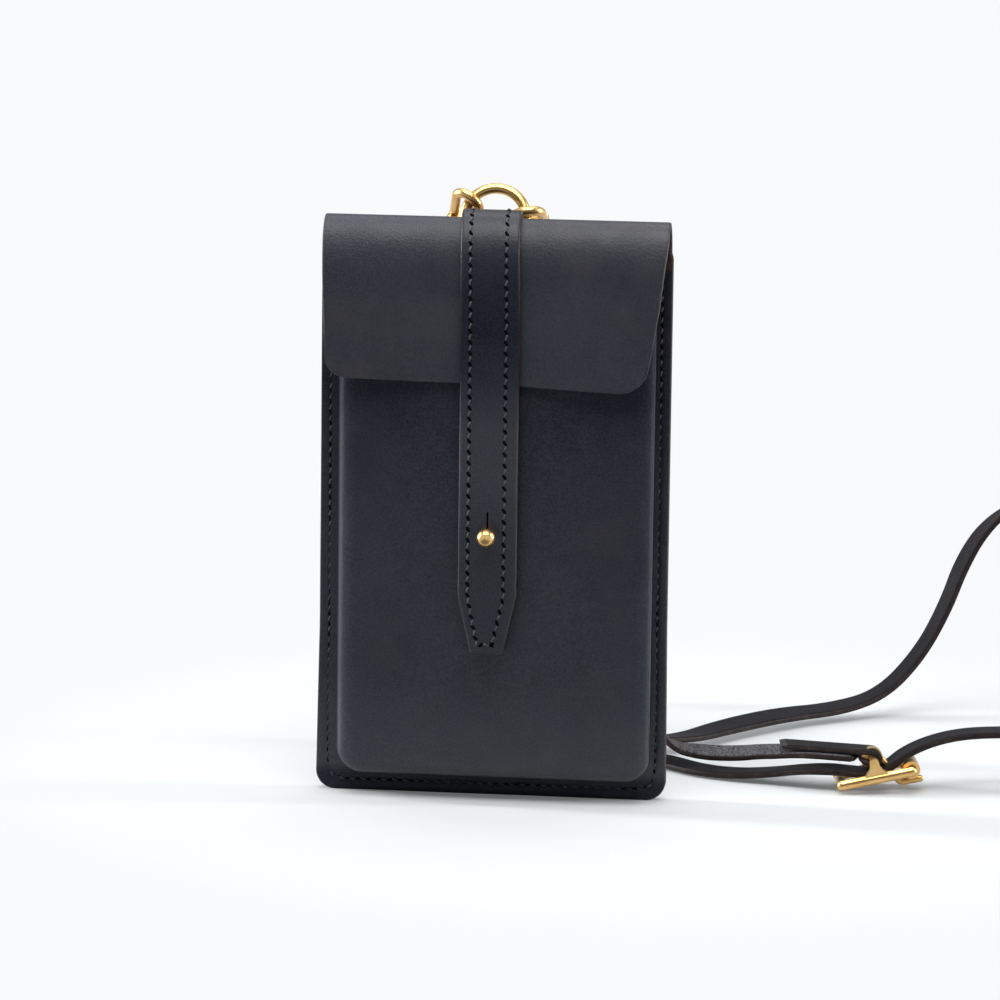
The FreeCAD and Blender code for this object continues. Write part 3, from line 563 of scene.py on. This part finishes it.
# Tones are dark, light and warm, or dark to light on an edge; shines are (height, level)
pouch_tones = ((0.0054, 0.0076, 0.0142), (0.0205, 0.0240, 0.0365), (0.034, 0.026, 0.025))
closure_tones = ((0.0044, 0.0062, 0.0120), (0.0155, 0.0185, 0.0295), (0.025, 0.020, 0.018))
strap_tones = ((0.0016, 0.0014, 0.0020), (0.0120, 0.0104, 0.0132), (0.016, 0.012, 0.012))
edge_tones = ((0.020, 0.014, 0.012), (0.044, 0.028, 0.022), (0.120, 0.068, 0.044))
strap_edge_tones = ((0.006, 0.0044, 0.0044), (0.022, 0.016, 0.014), (0.100, 0.060, 0.042))
front_shines = ((5.5, 0.15), (8.5, 0.48), (40, 0.28), (70, 0.25), (96, 0.20), (112, 0.16), (124, 0.10),
                (133, 0.06))
closure_shines = ((60, 0.30), (88, 0.32), (105, 0.48), (119, 0.46), (134, 0.18), (150, 0.03), (162, 0.07),
                  (176, 0.29))
pouch_grain = grain_leather("pouch_grain", pouch_tones, 0.48, 0.36)
front_grain = worn_by_height(grain_leather("front_grain", pouch_tones, 0.36, 0.20), front_shines)
closure_grain = worn_by_height(grain_leather("closure_grain", closure_tones, 0.40, 0.20, 0.3), closure_shines)
strap_grain = grain_leather("strap_grain", strap_tones, 0.50, 0.06)
pouch_flesh = flesh_leather("pouch_flesh", (0.022, 0.020, 0.020), (0.070, 0.065, 0.063))
strap_flesh = flesh_leather("strap_flesh", (0.0040, 0.0038, 0.0046), (0.110, 0.106, 0.115))
edge_finish = burnished_edge("burnished_edge", edge_tones)
strap_edge = burnished_edge("strap_edge", strap_edge_tones)
thread_finish = waxed_thread()
# Near-black painted shade for the inside of the awl holes
hole_shade_paint = painted_hole_shade()
brass = metal("brass", (0.60, 0.36, 0.12), (0.76, 0.50, 0.21))
steel = metal("steel", (0.45, 0.45, 0.44), (0.62, 0.61, 0.59))

# Outside, inside and edge of each leather
pouch_materials = [pouch_grain, pouch_flesh, edge_finish]
front_materials = [front_grain, pouch_flesh, edge_finish]
closure_materials = [closure_grain, pouch_flesh, edge_finish]
strap_materials = [strap_grain, strap_flesh, strap_edge]


# Mesh helpers

def new_piece(name, verts, faces, face_slots, materials, smooth=sheet_smooth):
    """Mesh object from points in millimetres, closed and turned outwards, with its materials."""
    merge_distance = 1e-7
    sliver = 1e-8
    mesh = bpy.data.meshes.new(name)
    mesh.from_pydata([Vector(v) * MM for v in verts], [], faces)
    for material in materials:
        mesh.materials.append(material)
    mesh.polygons.foreach_set("material_index", face_slots)
    work = bmesh.new()
    work.from_mesh(mesh)
    bmesh.ops.remove_doubles(work, verts=work.verts, dist=merge_distance)
    bmesh.ops.dissolve_degenerate(work, edges=work.edges, dist=sliver)
    bmesh.ops.recalc_face_normals(work, faces=work.faces)
    work.to_mesh(mesh)
    work.free()
    mesh.shade_smooth()
    mesh.set_sharp_from_angle(angle=smooth)
    piece = add_object(name, mesh)
    return piece


def grid_normals(grid, fallback):
    """Unit normal at each point of a grid of points."""
    last_row = len(grid) - 1
    last_col = len(grid[0]) - 1
    normals = []
    for i, row in enumerate(grid):
        line = []
        for j in range(len(row)):
            along = grid[min(i + 1, last_row)][j] - grid[max(i - 1, 0)][j]
            across = row[min(j + 1, last_col)] - row[max(j - 1, 0)]
            normal = across.cross(along)
            line.append(normal.normalized() if normal.length > 1e-6 else fallback)
        normals.append(line)
    return normals


def edge_half(full_half, distance):
    """Half thickness at a distance from a rounded edge."""
    inset = max(0.0, edge_round - distance)
    return full_half - edge_round + math.sqrt(edge_round ** 2 - inset ** 2)


def thick_sheet(name, grid, normals, halves, full_half, materials):
    """Closed leather sheet about a grid of middle points; materials are outside, inside and edge."""
    rows = len(grid)
    cols = len(grid[0])
    edge_slot = 2
    edge_limit = full_half - edge_round / 2
    verts = []
    for side in (1, -1):
        for i in range(rows):
            verts += [grid[i][j] + normals[i][j] * (side * halves[i][j]) for j in range(cols)]
    faces = []
    slots = []

    def index(side, i, j):
        return side * rows * cols + i * cols + j

    def add_face(corners, slot):
        faces.append([index(*corner) for corner in corners])
        slots.append(slot)

    for i in range(rows - 1):
        for j in range(cols - 1):
            cell = [(i, j), (i, j + 1), (i + 1, j + 1), (i + 1, j)]
            thin = min(halves[a][b] for a, b in cell) < edge_limit
            for side, order in ((0, cell), (1, cell[::-1])):
                add_face([(side, a, b) for a, b in order], edge_slot if thin else side)
    for i in range(rows - 1):
        for j in (0, cols - 1):
            add_face([(0, i, j), (0, i + 1, j), (1, i + 1, j), (1, i, j)], edge_slot)
    for j in range(cols - 1):
        for i in (0, rows - 1):
            add_face([(0, i, j), (0, i, j + 1), (1, i, j + 1), (1, i, j)], edge_slot)
    return new_piece(name, verts, faces, slots, materials)


def spread(edge_steps, length, count):
    """Distances from 0 to length, close at both ends and even between."""
    inner = edge_steps[-1]
    middle = [inner + (length - 2 * inner) * k / count for k in range(1, count)]
    return edge_steps + middle + [length - d for d in reversed(edge_steps)]


def line(start, end, steps):
    """Even points from start to end, without the end."""
    return [start.lerp(end, k / steps) for k in range(steps)]


def line_on(start, end, steps):
    """Even points from start to end, without the start."""
    return line(end, start, steps)[::-1]


def quarter(steps):
    """Even angles of a quarter turn, both ends among them."""
    return [math.pi / 2 * k / steps for k in range(steps + 1)]


def arc(centre, first, second, start, sweep, steps):
    """Points on an arc in the plane of two vectors as long as its radius; angles are in degrees."""
    turns = [math.radians(start + sweep * k / steps) for k in range(steps + 1)]
    return [centre + first * math.cos(turn) + second * math.sin(turn) for turn in turns]


fine_edge = [0.0, 0.08, 0.25, 0.55]
wide_edge = fine_edge + [1.2, 2.2, 3.4, 4.8, 6.2, 7.6, 9.5]


def ripple(point, scale, depth):
    """Small smooth swelling of hand-worked leather."""
    return noise.noise(Vector(point) * scale) * depth


# Pouch panels

def lean_back(z):
    """How far the front leans back towards the top at a height."""
    share = min(1.0, max(0.0, (z - roll_start) / roll_height))
    return roll_depth * (1 - math.sqrt(1 - share ** 2))


def u_line(side_inset, bottom_inset, radius, depth, flare_share, lean, top):
    """Open outline of the pocket from the left top round the bottom to the right top."""
    straight_steps = 46
    corner_steps = 12
    floor_steps = 28
    x = half_width - side_inset
    corner = Vector((radius - x, depth, bottom_inset + radius))
    left = line(Vector((-x, depth, top)), corner - rightward * radius, straight_steps)
    left += arc(corner, rightward * -radius, upward * -radius, 0, 90, corner_steps)
    right = [Vector((-point.x, point.y, point.z)) for point in reversed(left)]
    points = left + line(left[-1], right[0], floor_steps)[1:] + right
    for point in points:
        flare = flare_right if point.x > 0 else flare_left
        point.x += lean + flare * flare_share * max(0.0, 1 - point.z / flare_height) * point.x / half_width
    return points


def front_profile():
    """Steps from the outer edge to the face: (share of the flange, side inset, bottom inset, depth)."""
    foot_steps = 5
    wall_steps = 5
    edge_steps = 14
    half = leather / 2
    base = -half
    face = box_front + half
    steps = [(d / side_flange, 0.0, 0.0, base) for d in fine_edge]
    for offset, sink in groove_shape:
        inset = stitch_inset + offset * groove_half
        steps.append((inset / side_flange, 0.0, 0.0, base + sink * groove_depth))
    for turn in quarter(foot_steps):
        inset = half - mould_foot * (1 - math.sin(turn))
        steps.append((1.0, inset, inset, base - mould_foot * (1 - math.cos(turn))))
    wall_start = base - mould_foot
    wall_end = face + mould_edge_depth
    for k in range(1, wall_steps + 1):
        depth = wall_start + (wall_end - wall_start) * k / wall_steps
        rise = wall_start - depth
        steps.append((1.0, half + rise * math.tan(side_draft), half + rise * math.tan(bottom_draft), depth))
    share, side, below, depth = steps[-1]
    for turn in quarter(edge_steps)[1:]:
        inset = mould_edge_width * (1 - math.cos(turn))
        steps.append((1.0, side + inset, below + inset, face + mould_edge_depth * (1 - math.sin(turn))))
    return steps


def front_panel():
    """Wet-moulded front: sewn flange with a seam groove, hollow foot, leaning walls and crowned face."""
    face_steps = 14
    half = leather / 2
    profile = front_profile()
    rings = []
    for share, side, below, depth in profile:
        radius = corner_radius + (mould_corner - corner_radius) * share - max(side, 0.0) * mould_corner_shrink
        lean = pocket_lean * (-half - min(depth, -half)) / (-half - box_front)
        rings.append(u_line(share * side_flange + side, share * bottom_flange + below, radius, depth,
                            1 - share, lean, mouth))
    share, start_side, start_below, face = profile[-1]
    start_radius = mould_corner - start_side * mould_corner_shrink
    for k in range(1, face_steps + 1):
        share = k / face_steps
        inset = (half_width - side_flange - start_side) * share
        ring = u_line(side_flange + start_side + inset, bottom_flange + start_below + inset * face_pull,
                      start_radius * (1 - share), face, 0.0, lean, mouth)
        for point in ring:
            point.y -= front_crown * math.sin(math.pi / 2 * share)
        rings.append(ring)
    for ring in rings:
        for point in ring:
            point.y += ripple(point, *face_ripple) * min(1.0, abs(point.x) / half_width + ripple_middle)
            point.y += lean_back(point.z + leather) * point.y / box_front
    normals = grid_normals(rings, frontward)
    flip = -1 if sum(normal.y for row in normals for normal in row) > 0 else 1
    normals = [[normal * flip for normal in row] for row in normals]
    edge_distances = fine_edge + [leather] * (len(rings) - len(fine_edge))
    halves = []
    for ring, distance in zip(rings, edge_distances):
        halves.append([edge_half(half, min(distance, mouth - point.z)) for point in ring])
    piece = thick_sheet("moulded_front", rings, normals, halves, half, front_materials)
    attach(piece, "pouch")
    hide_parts("front_panel")


def corner_rise(distance, radius):
    """Height of a rounded lower corner at a distance from the side."""
    over = radius - distance
    return radius - math.sqrt(radius ** 2 - over ** 2) if over > 0 else 0.0


def roll_point(offset, degrees):
    """Point and normal on the roll over the top, from 0 at the back to 90 on top and 180 in front."""
    front = degrees > 90
    depth = roll_depth if front else leather - roll_summit
    height = roll_height if front else back_fold
    turn = math.radians(degrees)
    point = Vector((0, roll_summit + depth * math.cos(turn), roll_top + height * (math.sin(turn) - 1)))
    out = Vector((0, math.cos(turn) / depth, math.sin(turn) / height)).normalized()
    return point + out * offset, out


def width_shares():
    """Shares across a sheet from its left edge to its right edge, close at both edges."""
    middle_steps = 12
    width = 2 * half_width
    return [d / width for d in spread(wide_edge, width, middle_steps)]


def sheet_from(rows, name):
    """Pouch sheet from rows of (points, normals, distance to a free end)."""
    half = leather / 2
    grid = [row[0] for row in rows]
    normals = [row[1] for row in rows]
    halves = []
    for points, _, end_distance in rows:
        left = points[0].x
        right = points[-1].x
        halves.append([edge_half(half, min(p.x - left, right - p.x, end_distance)) for p in points])
    return thick_sheet(name, grid, normals, halves, half, pouch_materials)


def across_flap(shares, y, z):
    """Row of points over the flap's full width."""
    return [Vector((flap_left + (flap_right - flap_left) * share, y, z)) for share in shares]


def back_sheet():
    """Back panel up over the rear fold to the middle of the top."""
    panel_steps = 30
    bend_steps = 18
    mid = -leather / 2
    shares = width_shares()
    rows = []
    for distance in spread(wide_edge, back_fold_z, panel_steps):
        points = []
        for share in shares:
            side = min(share, 1 - share) * 2 * half_width
            bottom = corner_rise(side, corner_radius)
            z = bottom + (back_fold_z - bottom) * distance / back_fold_z
            flare = max(0.0, 1 - z / flare_height)
            above = max(0.0, (z - mouth) / (back_fold_z - mouth))
            left = -half_width - flare_left * flare + (flap_left + half_width) * above
            right = half_width + flare_right * flare + (flap_right - half_width) * above
            points.append(Vector((left + (right - left) * share, leather + mid, z)))
        rows.append((points, [backward] * len(points), distance))
    for k in range(1, bend_steps + 1):
        centre, out = roll_point(mid, 90 * k / bend_steps)
        rows.append((across_flap(shares, centre.y, centre.z), [out] * len(shares), leather))
    piece = sheet_from(rows, "back_sheet")
    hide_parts("back_panel")
    bend_on_roll(piece)


def flap_sheet():
    """Front half of the top, front fold and hanging flap with its slanted lower edge."""
    bend_steps = 26
    hang_steps = 12
    mid = -leather / 2
    shares = width_shares()
    rows = []
    for k in range(bend_steps + 1):
        centre, out = roll_point(mid, 90 + 90 * k / bend_steps)
        taper = max(0.0, (front_fold_z - centre.z) / (front_fold_z - flap_edge))
        points = across_flap(shares, centre.y, centre.z)
        for point, share in zip(points, shares):
            point.x += (flap_left_taper * (1 - share) - flap_right_taper * share) * taper
        rows.append((points, [out] * len(shares), leather))
    drop = roll_start - flap_edge
    start_taper = (front_fold_z - roll_start) / (front_fold_z - flap_edge)
    low_width = flap_right - flap_right_taper - flap_left - flap_left_taper
    for distance in spread(wide_edge, drop, hang_steps)[1:]:
        down = distance / drop
        taper = start_taper + (1 - start_taper) * down
        left = flap_left + flap_left_taper * taper
        right = flap_right - flap_right_taper * taper
        points = []
        for share in shares:
            on_left = share < 0.5
            radius = flap_left_radius if on_left else flap_right_radius
            curl = flap_left_curl if on_left else flap_right_curl
            rise = corner_rise(min(share, 1 - share) * low_width, radius)
            low = flap_edge + flap_slant * (0.5 - share) + rise
            z = roll_start + (low - roll_start) * down
            swell = ripple((share * 2 * half_width, 0, z), *flap_ripple) * down
            beside = max(0.0, abs(2 * share - 1) - flap_calm_share) / (1 - flap_calm_share)
            swell -= curl * math.sin(beside * math.pi / 2) * down ** 2
            points.append(Vector((left + (right - left) * share, flap_face - mid + swell, z)))
        rows.append((points, [frontward] * len(points), drop - distance))
    piece = sheet_from(rows, "flap_sheet")
    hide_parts("flap_top", "flap_front")
    bend_at_front_fold(piece)


# How pieces are fixed in place: their transforms are baked, and none follows a joint

def bend_on_roll(piece):
    """Bakes the piece's placement into its mesh; it follows no body."""
    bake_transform(piece)


def bend_at_front_fold(piece):
    """Bakes the piece's placement into its mesh, as on the roll; it follows neither the flap's top nor its
    front.
    """
    bend_on_roll(piece)


def bend_at_tab(piece):
    """Bakes the piece's placement into its mesh; it follows neither the flap's front nor the tab."""
    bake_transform(piece)


# Closure strap

def closure_half(z):
    """Half width of the closure strap at a height."""
    start = tab_tip + tab_taper
    return half_strap if z > start else tab_tip_half + (half_strap - tab_tip_half) * (z - tab_tip) / tab_taper


def strip(name, stations, width_of, full_half, materials, round_ends=(True, True), bevel=1.0):
    """Leather strip: stations are (middle point, side direction, normal, distance from start)."""
    width_steps = 8
    edge_steps = [d * bevel for d in fine_edge]
    total = stations[-1][3]
    grid = []
    normals = []
    halves = []
    for point, side, normal, distance in stations:
        width = width_of(distance)
        offsets = [d - width / 2 for d in spread(edge_steps, width, width_steps)]
        end = min(distance if round_ends[0] else width, total - distance if round_ends[1] else width)
        grid.append([point + side * d for d in offsets])
        normals.append([normal] * len(offsets))
        halves.append([edge_half(full_half, min(width / 2 - abs(d), end) / bevel) for d in offsets])
    return thick_sheet(name, grid, normals, halves, full_half, materials)


def measured(points, sides, normals):
    """Stations with their distance from the start."""
    stations = []
    distance = 0.0
    for k, point in enumerate(points):
        if k:
            distance += (point - points[k - 1]).length
        stations.append((point, sides[k], normals[k], distance))
    return stations


def closure_run(offset):
    """Upper run of a closure layer: from the back over the roll down to the tab's hinge."""
    roll_steps = 44
    straight_steps = 14
    points = []
    normals = []
    for k in range(roll_steps + 1):
        degrees = closure_start + (180 - closure_start) * k / roll_steps
        pressed = ridge_press * max(0.0, 1 - abs(degrees - ridge_degrees) / ridge_reach)
        point, out = roll_point(offset - pressed, degrees)
        point.x = ridge_shift * min(1.0, (180 - degrees) / 90)
        points.append(point)
        normals.append(out)
    hinge = Vector((0, flap_face - offset, tab_top))
    points += line_on(Vector((0, hinge.y, roll_start)), hinge, straight_steps)
    normals += [frontward] * straight_steps
    return measured(points, [rightward] * len(points), normals)


def tab_run(offset):
    """Free tab of a closure layer, from its hinge to its tip."""
    even_steps = 30
    tip_zone = 0.7
    length = tab_top - tab_tip
    distances = [length * k / even_steps for k in range(even_steps)]
    distances = [d for d in distances if d < length - tip_zone] + [length - d for d in reversed(fine_edge)]
    points = [Vector((0, flap_face - offset, tab_top - d)) for d in distances]
    return measured(points, [rightward] * len(points), [frontward] * len(points))


def cut_keyhole(piece):
    """Keyhole and slit for the stud."""
    round_steps = 28
    reach = 4 * strap_layer
    middle = Vector((0, strap_face, (stud_low.z + stud_high.z) / 2))
    gap = math.asin(slit_width / 2 / keyhole_radius)
    outline = []
    for k in range(round_steps + 1):
        turn = math.pi / 2 + gap + (2 * math.pi - 2 * gap) * k / round_steps
        outline.append((keyhole_radius * math.cos(turn), keyhole_radius * math.sin(turn)))
    slit_end = keyhole_radius + slit_length
    outline += [(slit_width / 2, slit_end), (-slit_width / 2, slit_end)]
    verts = []
    for y in (-reach, reach):
        verts += [middle + Vector((x, y, z)) for x, z in outline]
    size = len(outline)
    faces = [list(range(size)), list(range(2 * size - 1, size - 1, -1))]
    faces += [[k, (k + 1) % size, size + (k + 1) % size, size + k] for k in range(size)]
    cutter = new_piece("keyhole_cutter", verts, faces, [0] * len(faces), [edge_finish])
    subtract(piece, cutter)


def subtract(piece, cutter):
    """Cuts cutter out of piece and removes cutter."""
    modifier = piece.modifiers.new("cut", "BOOLEAN")
    modifier.operation = "DIFFERENCE"
    modifier.solver = "EXACT"
    modifier.object = cutter
    bpy.context.view_layer.update()
    final = bpy.data.meshes.new_from_object(piece.evaluated_get(bpy.context.evaluated_depsgraph_get()))
    piece.modifiers.clear()
    piece.data = final
    final.shade_smooth()
    final.set_sharp_from_angle(angle=sheet_smooth)
    bpy.data.objects.remove(cutter)


def closure_strap():
    """Two sewn layers over the top and down the front, and the free tab on the stud."""
    half = strap_layer / 2
    outer = half + strap_layer
    layers = (("closure_lining", half, "closure_lining_top", "closure_lining_front", "closure_tab_lining"),
              ("closure_outer", outer, "closure_strap_top", "closure_strap_front", "closure_tab"))
    for name, offset, over_top, down_front, free_tab in layers:
        run = strip(name, closure_run(offset), lambda d: 2 * half_strap, half, closure_materials,
                    (True, False), closure_bevel)
        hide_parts(over_top, down_front)
        bend_at_front_fold(run)
        tab = strip(name + "_tab", tab_run(offset), lambda d: 2 * closure_half(tab_top - d), half,
                    closure_materials, (False, True), closure_bevel)
        cut_keyhole(tab)
        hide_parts(free_tab)
        bend_at_tab(tab)


# Stitching

def ring_points(centre, first, second, count):
    """Points round a centre in the plane of two vectors, whose lengths are the half axes."""
    turns = [2 * math.pi * k / count for k in range(count)]
    return [centre + first * math.cos(turn) + second * math.sin(turn) for turn in turns]


def ring_faces(first, second, count):
    """Faces between two rings of points that start at these indices."""
    return [[first + k, first + (k + 1) % count, second + (k + 1) % count, second + k] for k in range(count)]


def stitch_mesh(name, places, pitch):
    """Row of stitches; places are (middle, direction, normal). Each is a bent strand sunk at its ends."""
    around = 7
    steps = 6
    half_length = pitch * thread_share / 2
    verts = []
    faces = []
    for middle, direction, normal in places:
        side = direction.cross(normal).normalized()
        base = len(verts)
        for i in range(steps + 1):
            t = i / steps * 2 - 1
            lift = thread_radius * (stitch_lift - stitch_drop * t * t)
            thick = thread_radius * (1 - stitch_thin * t ** 4)
            centre = middle + direction * (t * half_length) + normal * lift
            verts += ring_points(centre, side * thick, normal * (thick * stitch_flat), around)
        for i in range(steps):
            faces += ring_faces(base + i * around, base + (i + 1) * around, around)
        faces.append([base + k for k in range(around)][::-1])
        faces.append([base + steps * around + k for k in range(around)])
    return new_piece(name, verts, faces, [0] * len(faces), [thread_finish], thread_smooth)


def hole_mesh(name, places):
    """Slanted awl holes between stitches: shallow pits with a pressed rim, coloured near-black as painted
    shade.
    """
    around = 10
    verts = []
    faces = []
    for middle, direction, normal in places:
        side = direction.cross(normal).normalized()
        base = len(verts)
        for scale, lift in hole_rims:
            verts += ring_points(middle + normal * lift, direction * (hole_length / 2 * scale),
                                 side * (hole_width / 2 * scale), around)
        verts.append(middle - normal * hole_depth)
        faces += ring_faces(base, base + around, around)
        faces += [[base + 2 * around, base + (k + 1) % around, base + k] for k in range(around)]
        faces.append([base + around + k for k in range(around)])
    return new_piece(name, verts, faces, [0] * len(faces), [hole_shade_paint], thread_smooth)


def seam_places(path, normals, pitch, slant):
    """Stitch and hole places along a path at an even pitch."""
    lengths = [0.0]
    for k in range(1, len(path)):
        lengths.append(lengths[-1] + (path[k] - path[k - 1]).length)
    count = max(1, round(lengths[-1] / pitch))
    step = lengths[-1] / count
    hole_turn = -math.copysign(hole_slant, slant)

    def slanted_at(distance, angle):
        k = 1
        while k < len(path) - 1 and lengths[k] < distance:
            k += 1
        share = (distance - lengths[k - 1]) / (lengths[k] - lengths[k - 1])
        direction = (path[k] - path[k - 1]).normalized()
        normal = normals[k - 1].lerp(normals[k], share).normalized()
        return path[k - 1].lerp(path[k], share), Matrix.Rotation(angle, 3, normal) @ direction, normal

    holes = [slanted_at(min(n * step, lengths[-1] - 1e-6), hole_turn) for n in range(count + 1)]
    stitches = [slanted_at((n + 0.5) * step, slant) for n in range(count)]
    return stitches, holes


def sew(name, path, normals, pitch, slant, follow):
    """Thread and holes of one seam; follow says how they move. The name has the word thread in it."""
    stitches, holes = seam_places(path, normals, pitch, slant)
    follow(stitch_mesh(name, stitches, pitch))
    follow(hole_mesh(name.replace("thread", "holes"), holes))


def flange_seams():
    """Saddle stitch round the three sewn sides, seen on the front and on the back."""
    bottom_inset = stitch_inset * bottom_flange / side_flange
    radius = corner_radius - stitch_inset / 2
    flare_share = 1 - stitch_inset / side_flange
    for side, y, outward in (("front", groove_depth - leather, frontward), ("back", leather, backward)):
        path = u_line(stitch_inset, bottom_inset, radius, y, flare_share, 0.0, mouth - seam_top_gap)
        sew("flange_thread_" + side, path, [outward] * len(path), thread_pitch, thread_slant * outward.y,
            lambda piece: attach(piece, "pouch"))


def closure_seams():
    """Seams along both edges of the closure strap, joined by a cross stitch at the tip."""
    offset = 2 * strap_layer
    face = flap_face - offset
    upper = closure_run(offset)[1:]
    normals = [normal for point, across, normal, distance in upper]
    taper_start = tab_tip + tab_taper
    left_end, right_end = ((x, tab_tip + z) for x, z in (cross_left, cross_right))
    seams = (("left", closure_seam_left - half_strap, [left_end, right_end]),
             ("right", half_strap - closure_seam_right, [right_end]))
    for side, seam_x, tip in seams:
        path = [point + rightward * seam_x for point, across, normal, distance in upper]
        sew("closure_thread_upper_" + side, path, normals, closure_pitch, -thread_slant,
            bend_at_front_fold)
        path = [Vector((x, face, z)) for x, z in [(seam_x, tab_top), (seam_x, taper_start)] + tip]
        sew("closure_thread_tab_" + side, path, [frontward] * len(path), closure_pitch, -thread_slant,
            bend_at_tab)


# Shoulder strap and ring tab

def smooth_line(name, points):
    """Points of the smooth spline that has the route's points as its control points."""
    curve = bpy.data.curves.new(name, "CURVE")
    curve.dimensions = "3D"
    spline = curve.splines.new("NURBS")
    spline.points.add(len(points) - 1)
    for target, point in zip(spline.points, points):
        target.co = (*(Vector(point) * MM), 1.0)
    spline.order_u = 3
    spline.use_endpoint_u = True
    spline.resolution_u = 12
    holder = add_object(name, curve)
    bpy.context.view_layer.update()
    line = bpy.data.meshes.new_from_object(holder)
    found = [v.co / MM for v in line.vertices]
    bpy.data.objects.remove(holder)
    return found


def tangents(points):
    """Unit direction of the run at each point."""
    last = len(points) - 1
    return [(points[min(k + 1, last)] - points[max(k - 1, 0)]).normalized() for k in range(len(points))]


def ribbon_stations(name, route):
    """Stations of a strap along its smooth line, with its width direction from a second line."""
    middle = smooth_line(name + "_middle", [point for point, edge in route])
    reach = shoulder_width / 2
    edge = smooth_line(name + "_edge", [Vector(p) + Vector(e).normalized() * reach for p, e in route])
    sides = []
    normals = []
    for point, beside, tangent in zip(middle, edge, tangents(middle)):
        side = beside - point
        side = (side - tangent * side.dot(tangent)).normalized()
        sides.append(side)
        normals.append(tangent.cross(side).normalized())
    return measured(middle, sides, normals)


def shoulder_straps():
    """Both strap pieces, each as long as its route, with the long one's rounded tip; what is on each and its
    far end are listed but not used, and the ribbons are fixed in place rather than following the ring.
    """
    rows = (("long_ribbon", "long_strap", long_route, strap_point_length, "bare", ["strap_fold_left"]),
            ("short_ribbon", "short_strap", short_route, 0.0, "fitting",
             ["strap_fold_right", "buckle_fold_strip", "buckle_frame", "buckle_roller", "buckle_prong"]))
    for name, node, route, point_length, far_end, on_it in rows:
        stations = ribbon_stations(name, route)
        total = stations[-1][3]

        def width_at(distance):
            left = total - distance
            if left >= point_length:
                return shoulder_width
            rounding = math.sqrt(max(0.0, 1 - (1 - left / point_length) ** 2))
            return shoulder_width * (strap_point_share + (1 - strap_point_share) * rounding)

        ribbon = strip(name, stations, width_at, shoulder_thick / 2, strap_materials)
        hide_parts(node)
        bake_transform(ribbon)


def bent_strip(name, points, across, width, half, materials):
    """Strip of even width along points, bent about the direction of its width."""
    normals = [across.cross(tangent).normalized() for tangent in tangents(points)]
    stations = measured(points, [across] * len(points), normals)
    return strip(name, stations, lambda d: width, half, materials)


def strap_folds():
    """Strap ends folded back round the hooks' eyes and sewn."""
    leg_steps = 10
    turn_steps = 12
    ease_steps = 5
    half = fold_leather / 2
    turn_radius = eye_bar_radius + fold_slack + half
    for side, route in (("left", long_route), ("right", short_route)):
        along = joint_axis("swivel_" + side + "_turn")
        normal = joint_axis("gate_" + side + "_hinge")
        upper = normal if normal.z > 0 else -normal
        bar = joint_place("swivel_" + side + "_turn") + along * eye_bar_reach
        leg_end = bar + upper * turn_radius
        points = line(leg_end + along * fold_leg, leg_end, leg_steps)
        points += arc(bar, along * turn_radius, upper * turn_radius, 90, 180, turn_steps)
        low = points[-1]
        to_strap = Vector(route[0][0]) - low
        for k in range(1, ease_steps + 1):
            share = k / ease_steps
            ease = share * share * (3 - 2 * share)
            points.append(low + along * (to_strap.dot(along) * share) + upper * (to_strap.dot(upper) * ease))
        across = along.cross(upper).normalized()
        piece = bent_strip("strap_fold_" + side, points, across, shoulder_width, half, strap_materials)
        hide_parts("strap_end_" + side)
        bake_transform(piece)


def buckle_fold():
    """Strap end folded over the buckle's centre bar and sewn on top of the short strap."""
    leg_steps = 16
    turn_steps = 12
    end_steps = 3
    half = fold_leather / 2
    turn_radius = centre_bar_radius + fold_slack + half
    bar = joint_place("prong_hinge")
    bar_axis = joint_axis("prong_hinge")
    forward = bar_axis.cross(upward).normalized()
    end_point = Vector(short_route[-1][0])
    away = (Vector(short_route[-3][0]) - end_point).normalized()
    far = end_point + away * buckle_fold_leg + upward * (shoulder_thick / 2 + 2 * fold_slack + half)
    near = bar + upward * turn_radius
    points = line(far, near, leg_steps)
    points += arc(bar, forward * turn_radius, upward * turn_radius, 90, -180, turn_steps)
    points += line_on(points[-1], end_point, end_steps)
    across = bar_axis if bar_axis.cross(near - far).z > 0 else -bar_axis
    piece = bent_strip("buckle_fold_strip", points, across, shoulder_width, half, strap_materials)
    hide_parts("buckle_fold")
    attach(piece, "pouch")


def ring_tab():
    """Leather tab sewn to the back that holds the ring."""
    foot_steps = 14
    turn_steps = 18
    close_steps = 4
    end_steps = 12
    half = ring_tab_half
    loop = joint_place("ring_swing")
    turn_radius = (ring_tab_high.y - leather) / 2 - half
    centre = Vector((loop.x, leather + turn_radius + half, loop.z + ring_tab_rise))
    foot = Vector((loop.x, leather + half, ring_tab_low.z))
    points = line(foot, centre - backward * turn_radius, foot_steps)
    points += arc(centre, backward * turn_radius, upward * turn_radius, 180, -ring_tab_wrap, turn_steps)
    meet = Vector((loop.x, leather + 3 * half, centre.z - ring_tab_close * turn_radius))
    points += line_on(points[-1], meet, close_steps)
    points += line_on(meet, Vector((meet.x, meet.y, foot.z)), end_steps)
    piece = bent_strip("ring_tab_strip", points, rightward, ring_tab_high.x - ring_tab_low.x, half,
                       pouch_materials)
    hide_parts("ring_tab")
    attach(piece, "pouch")


# Hardware

def finish_metal():
    """Brass and steel on the hardware."""
    steel_words = ("gate_pin", "gate_spring")
    for name, node in frame["nodes"].items():
        if node.hide_render:
            continue
        node.data.materials.clear()
        node.data.materials.append(steel if name.startswith(steel_words) else brass)


add_camera()
add_studio()
front_panel()
back_sheet()
flap_sheet()
closure_strap()
flange_seams()
closure_seams()
ring_tab()
strap_folds()
buckle_fold()
shoulder_straps()
finish_metal()
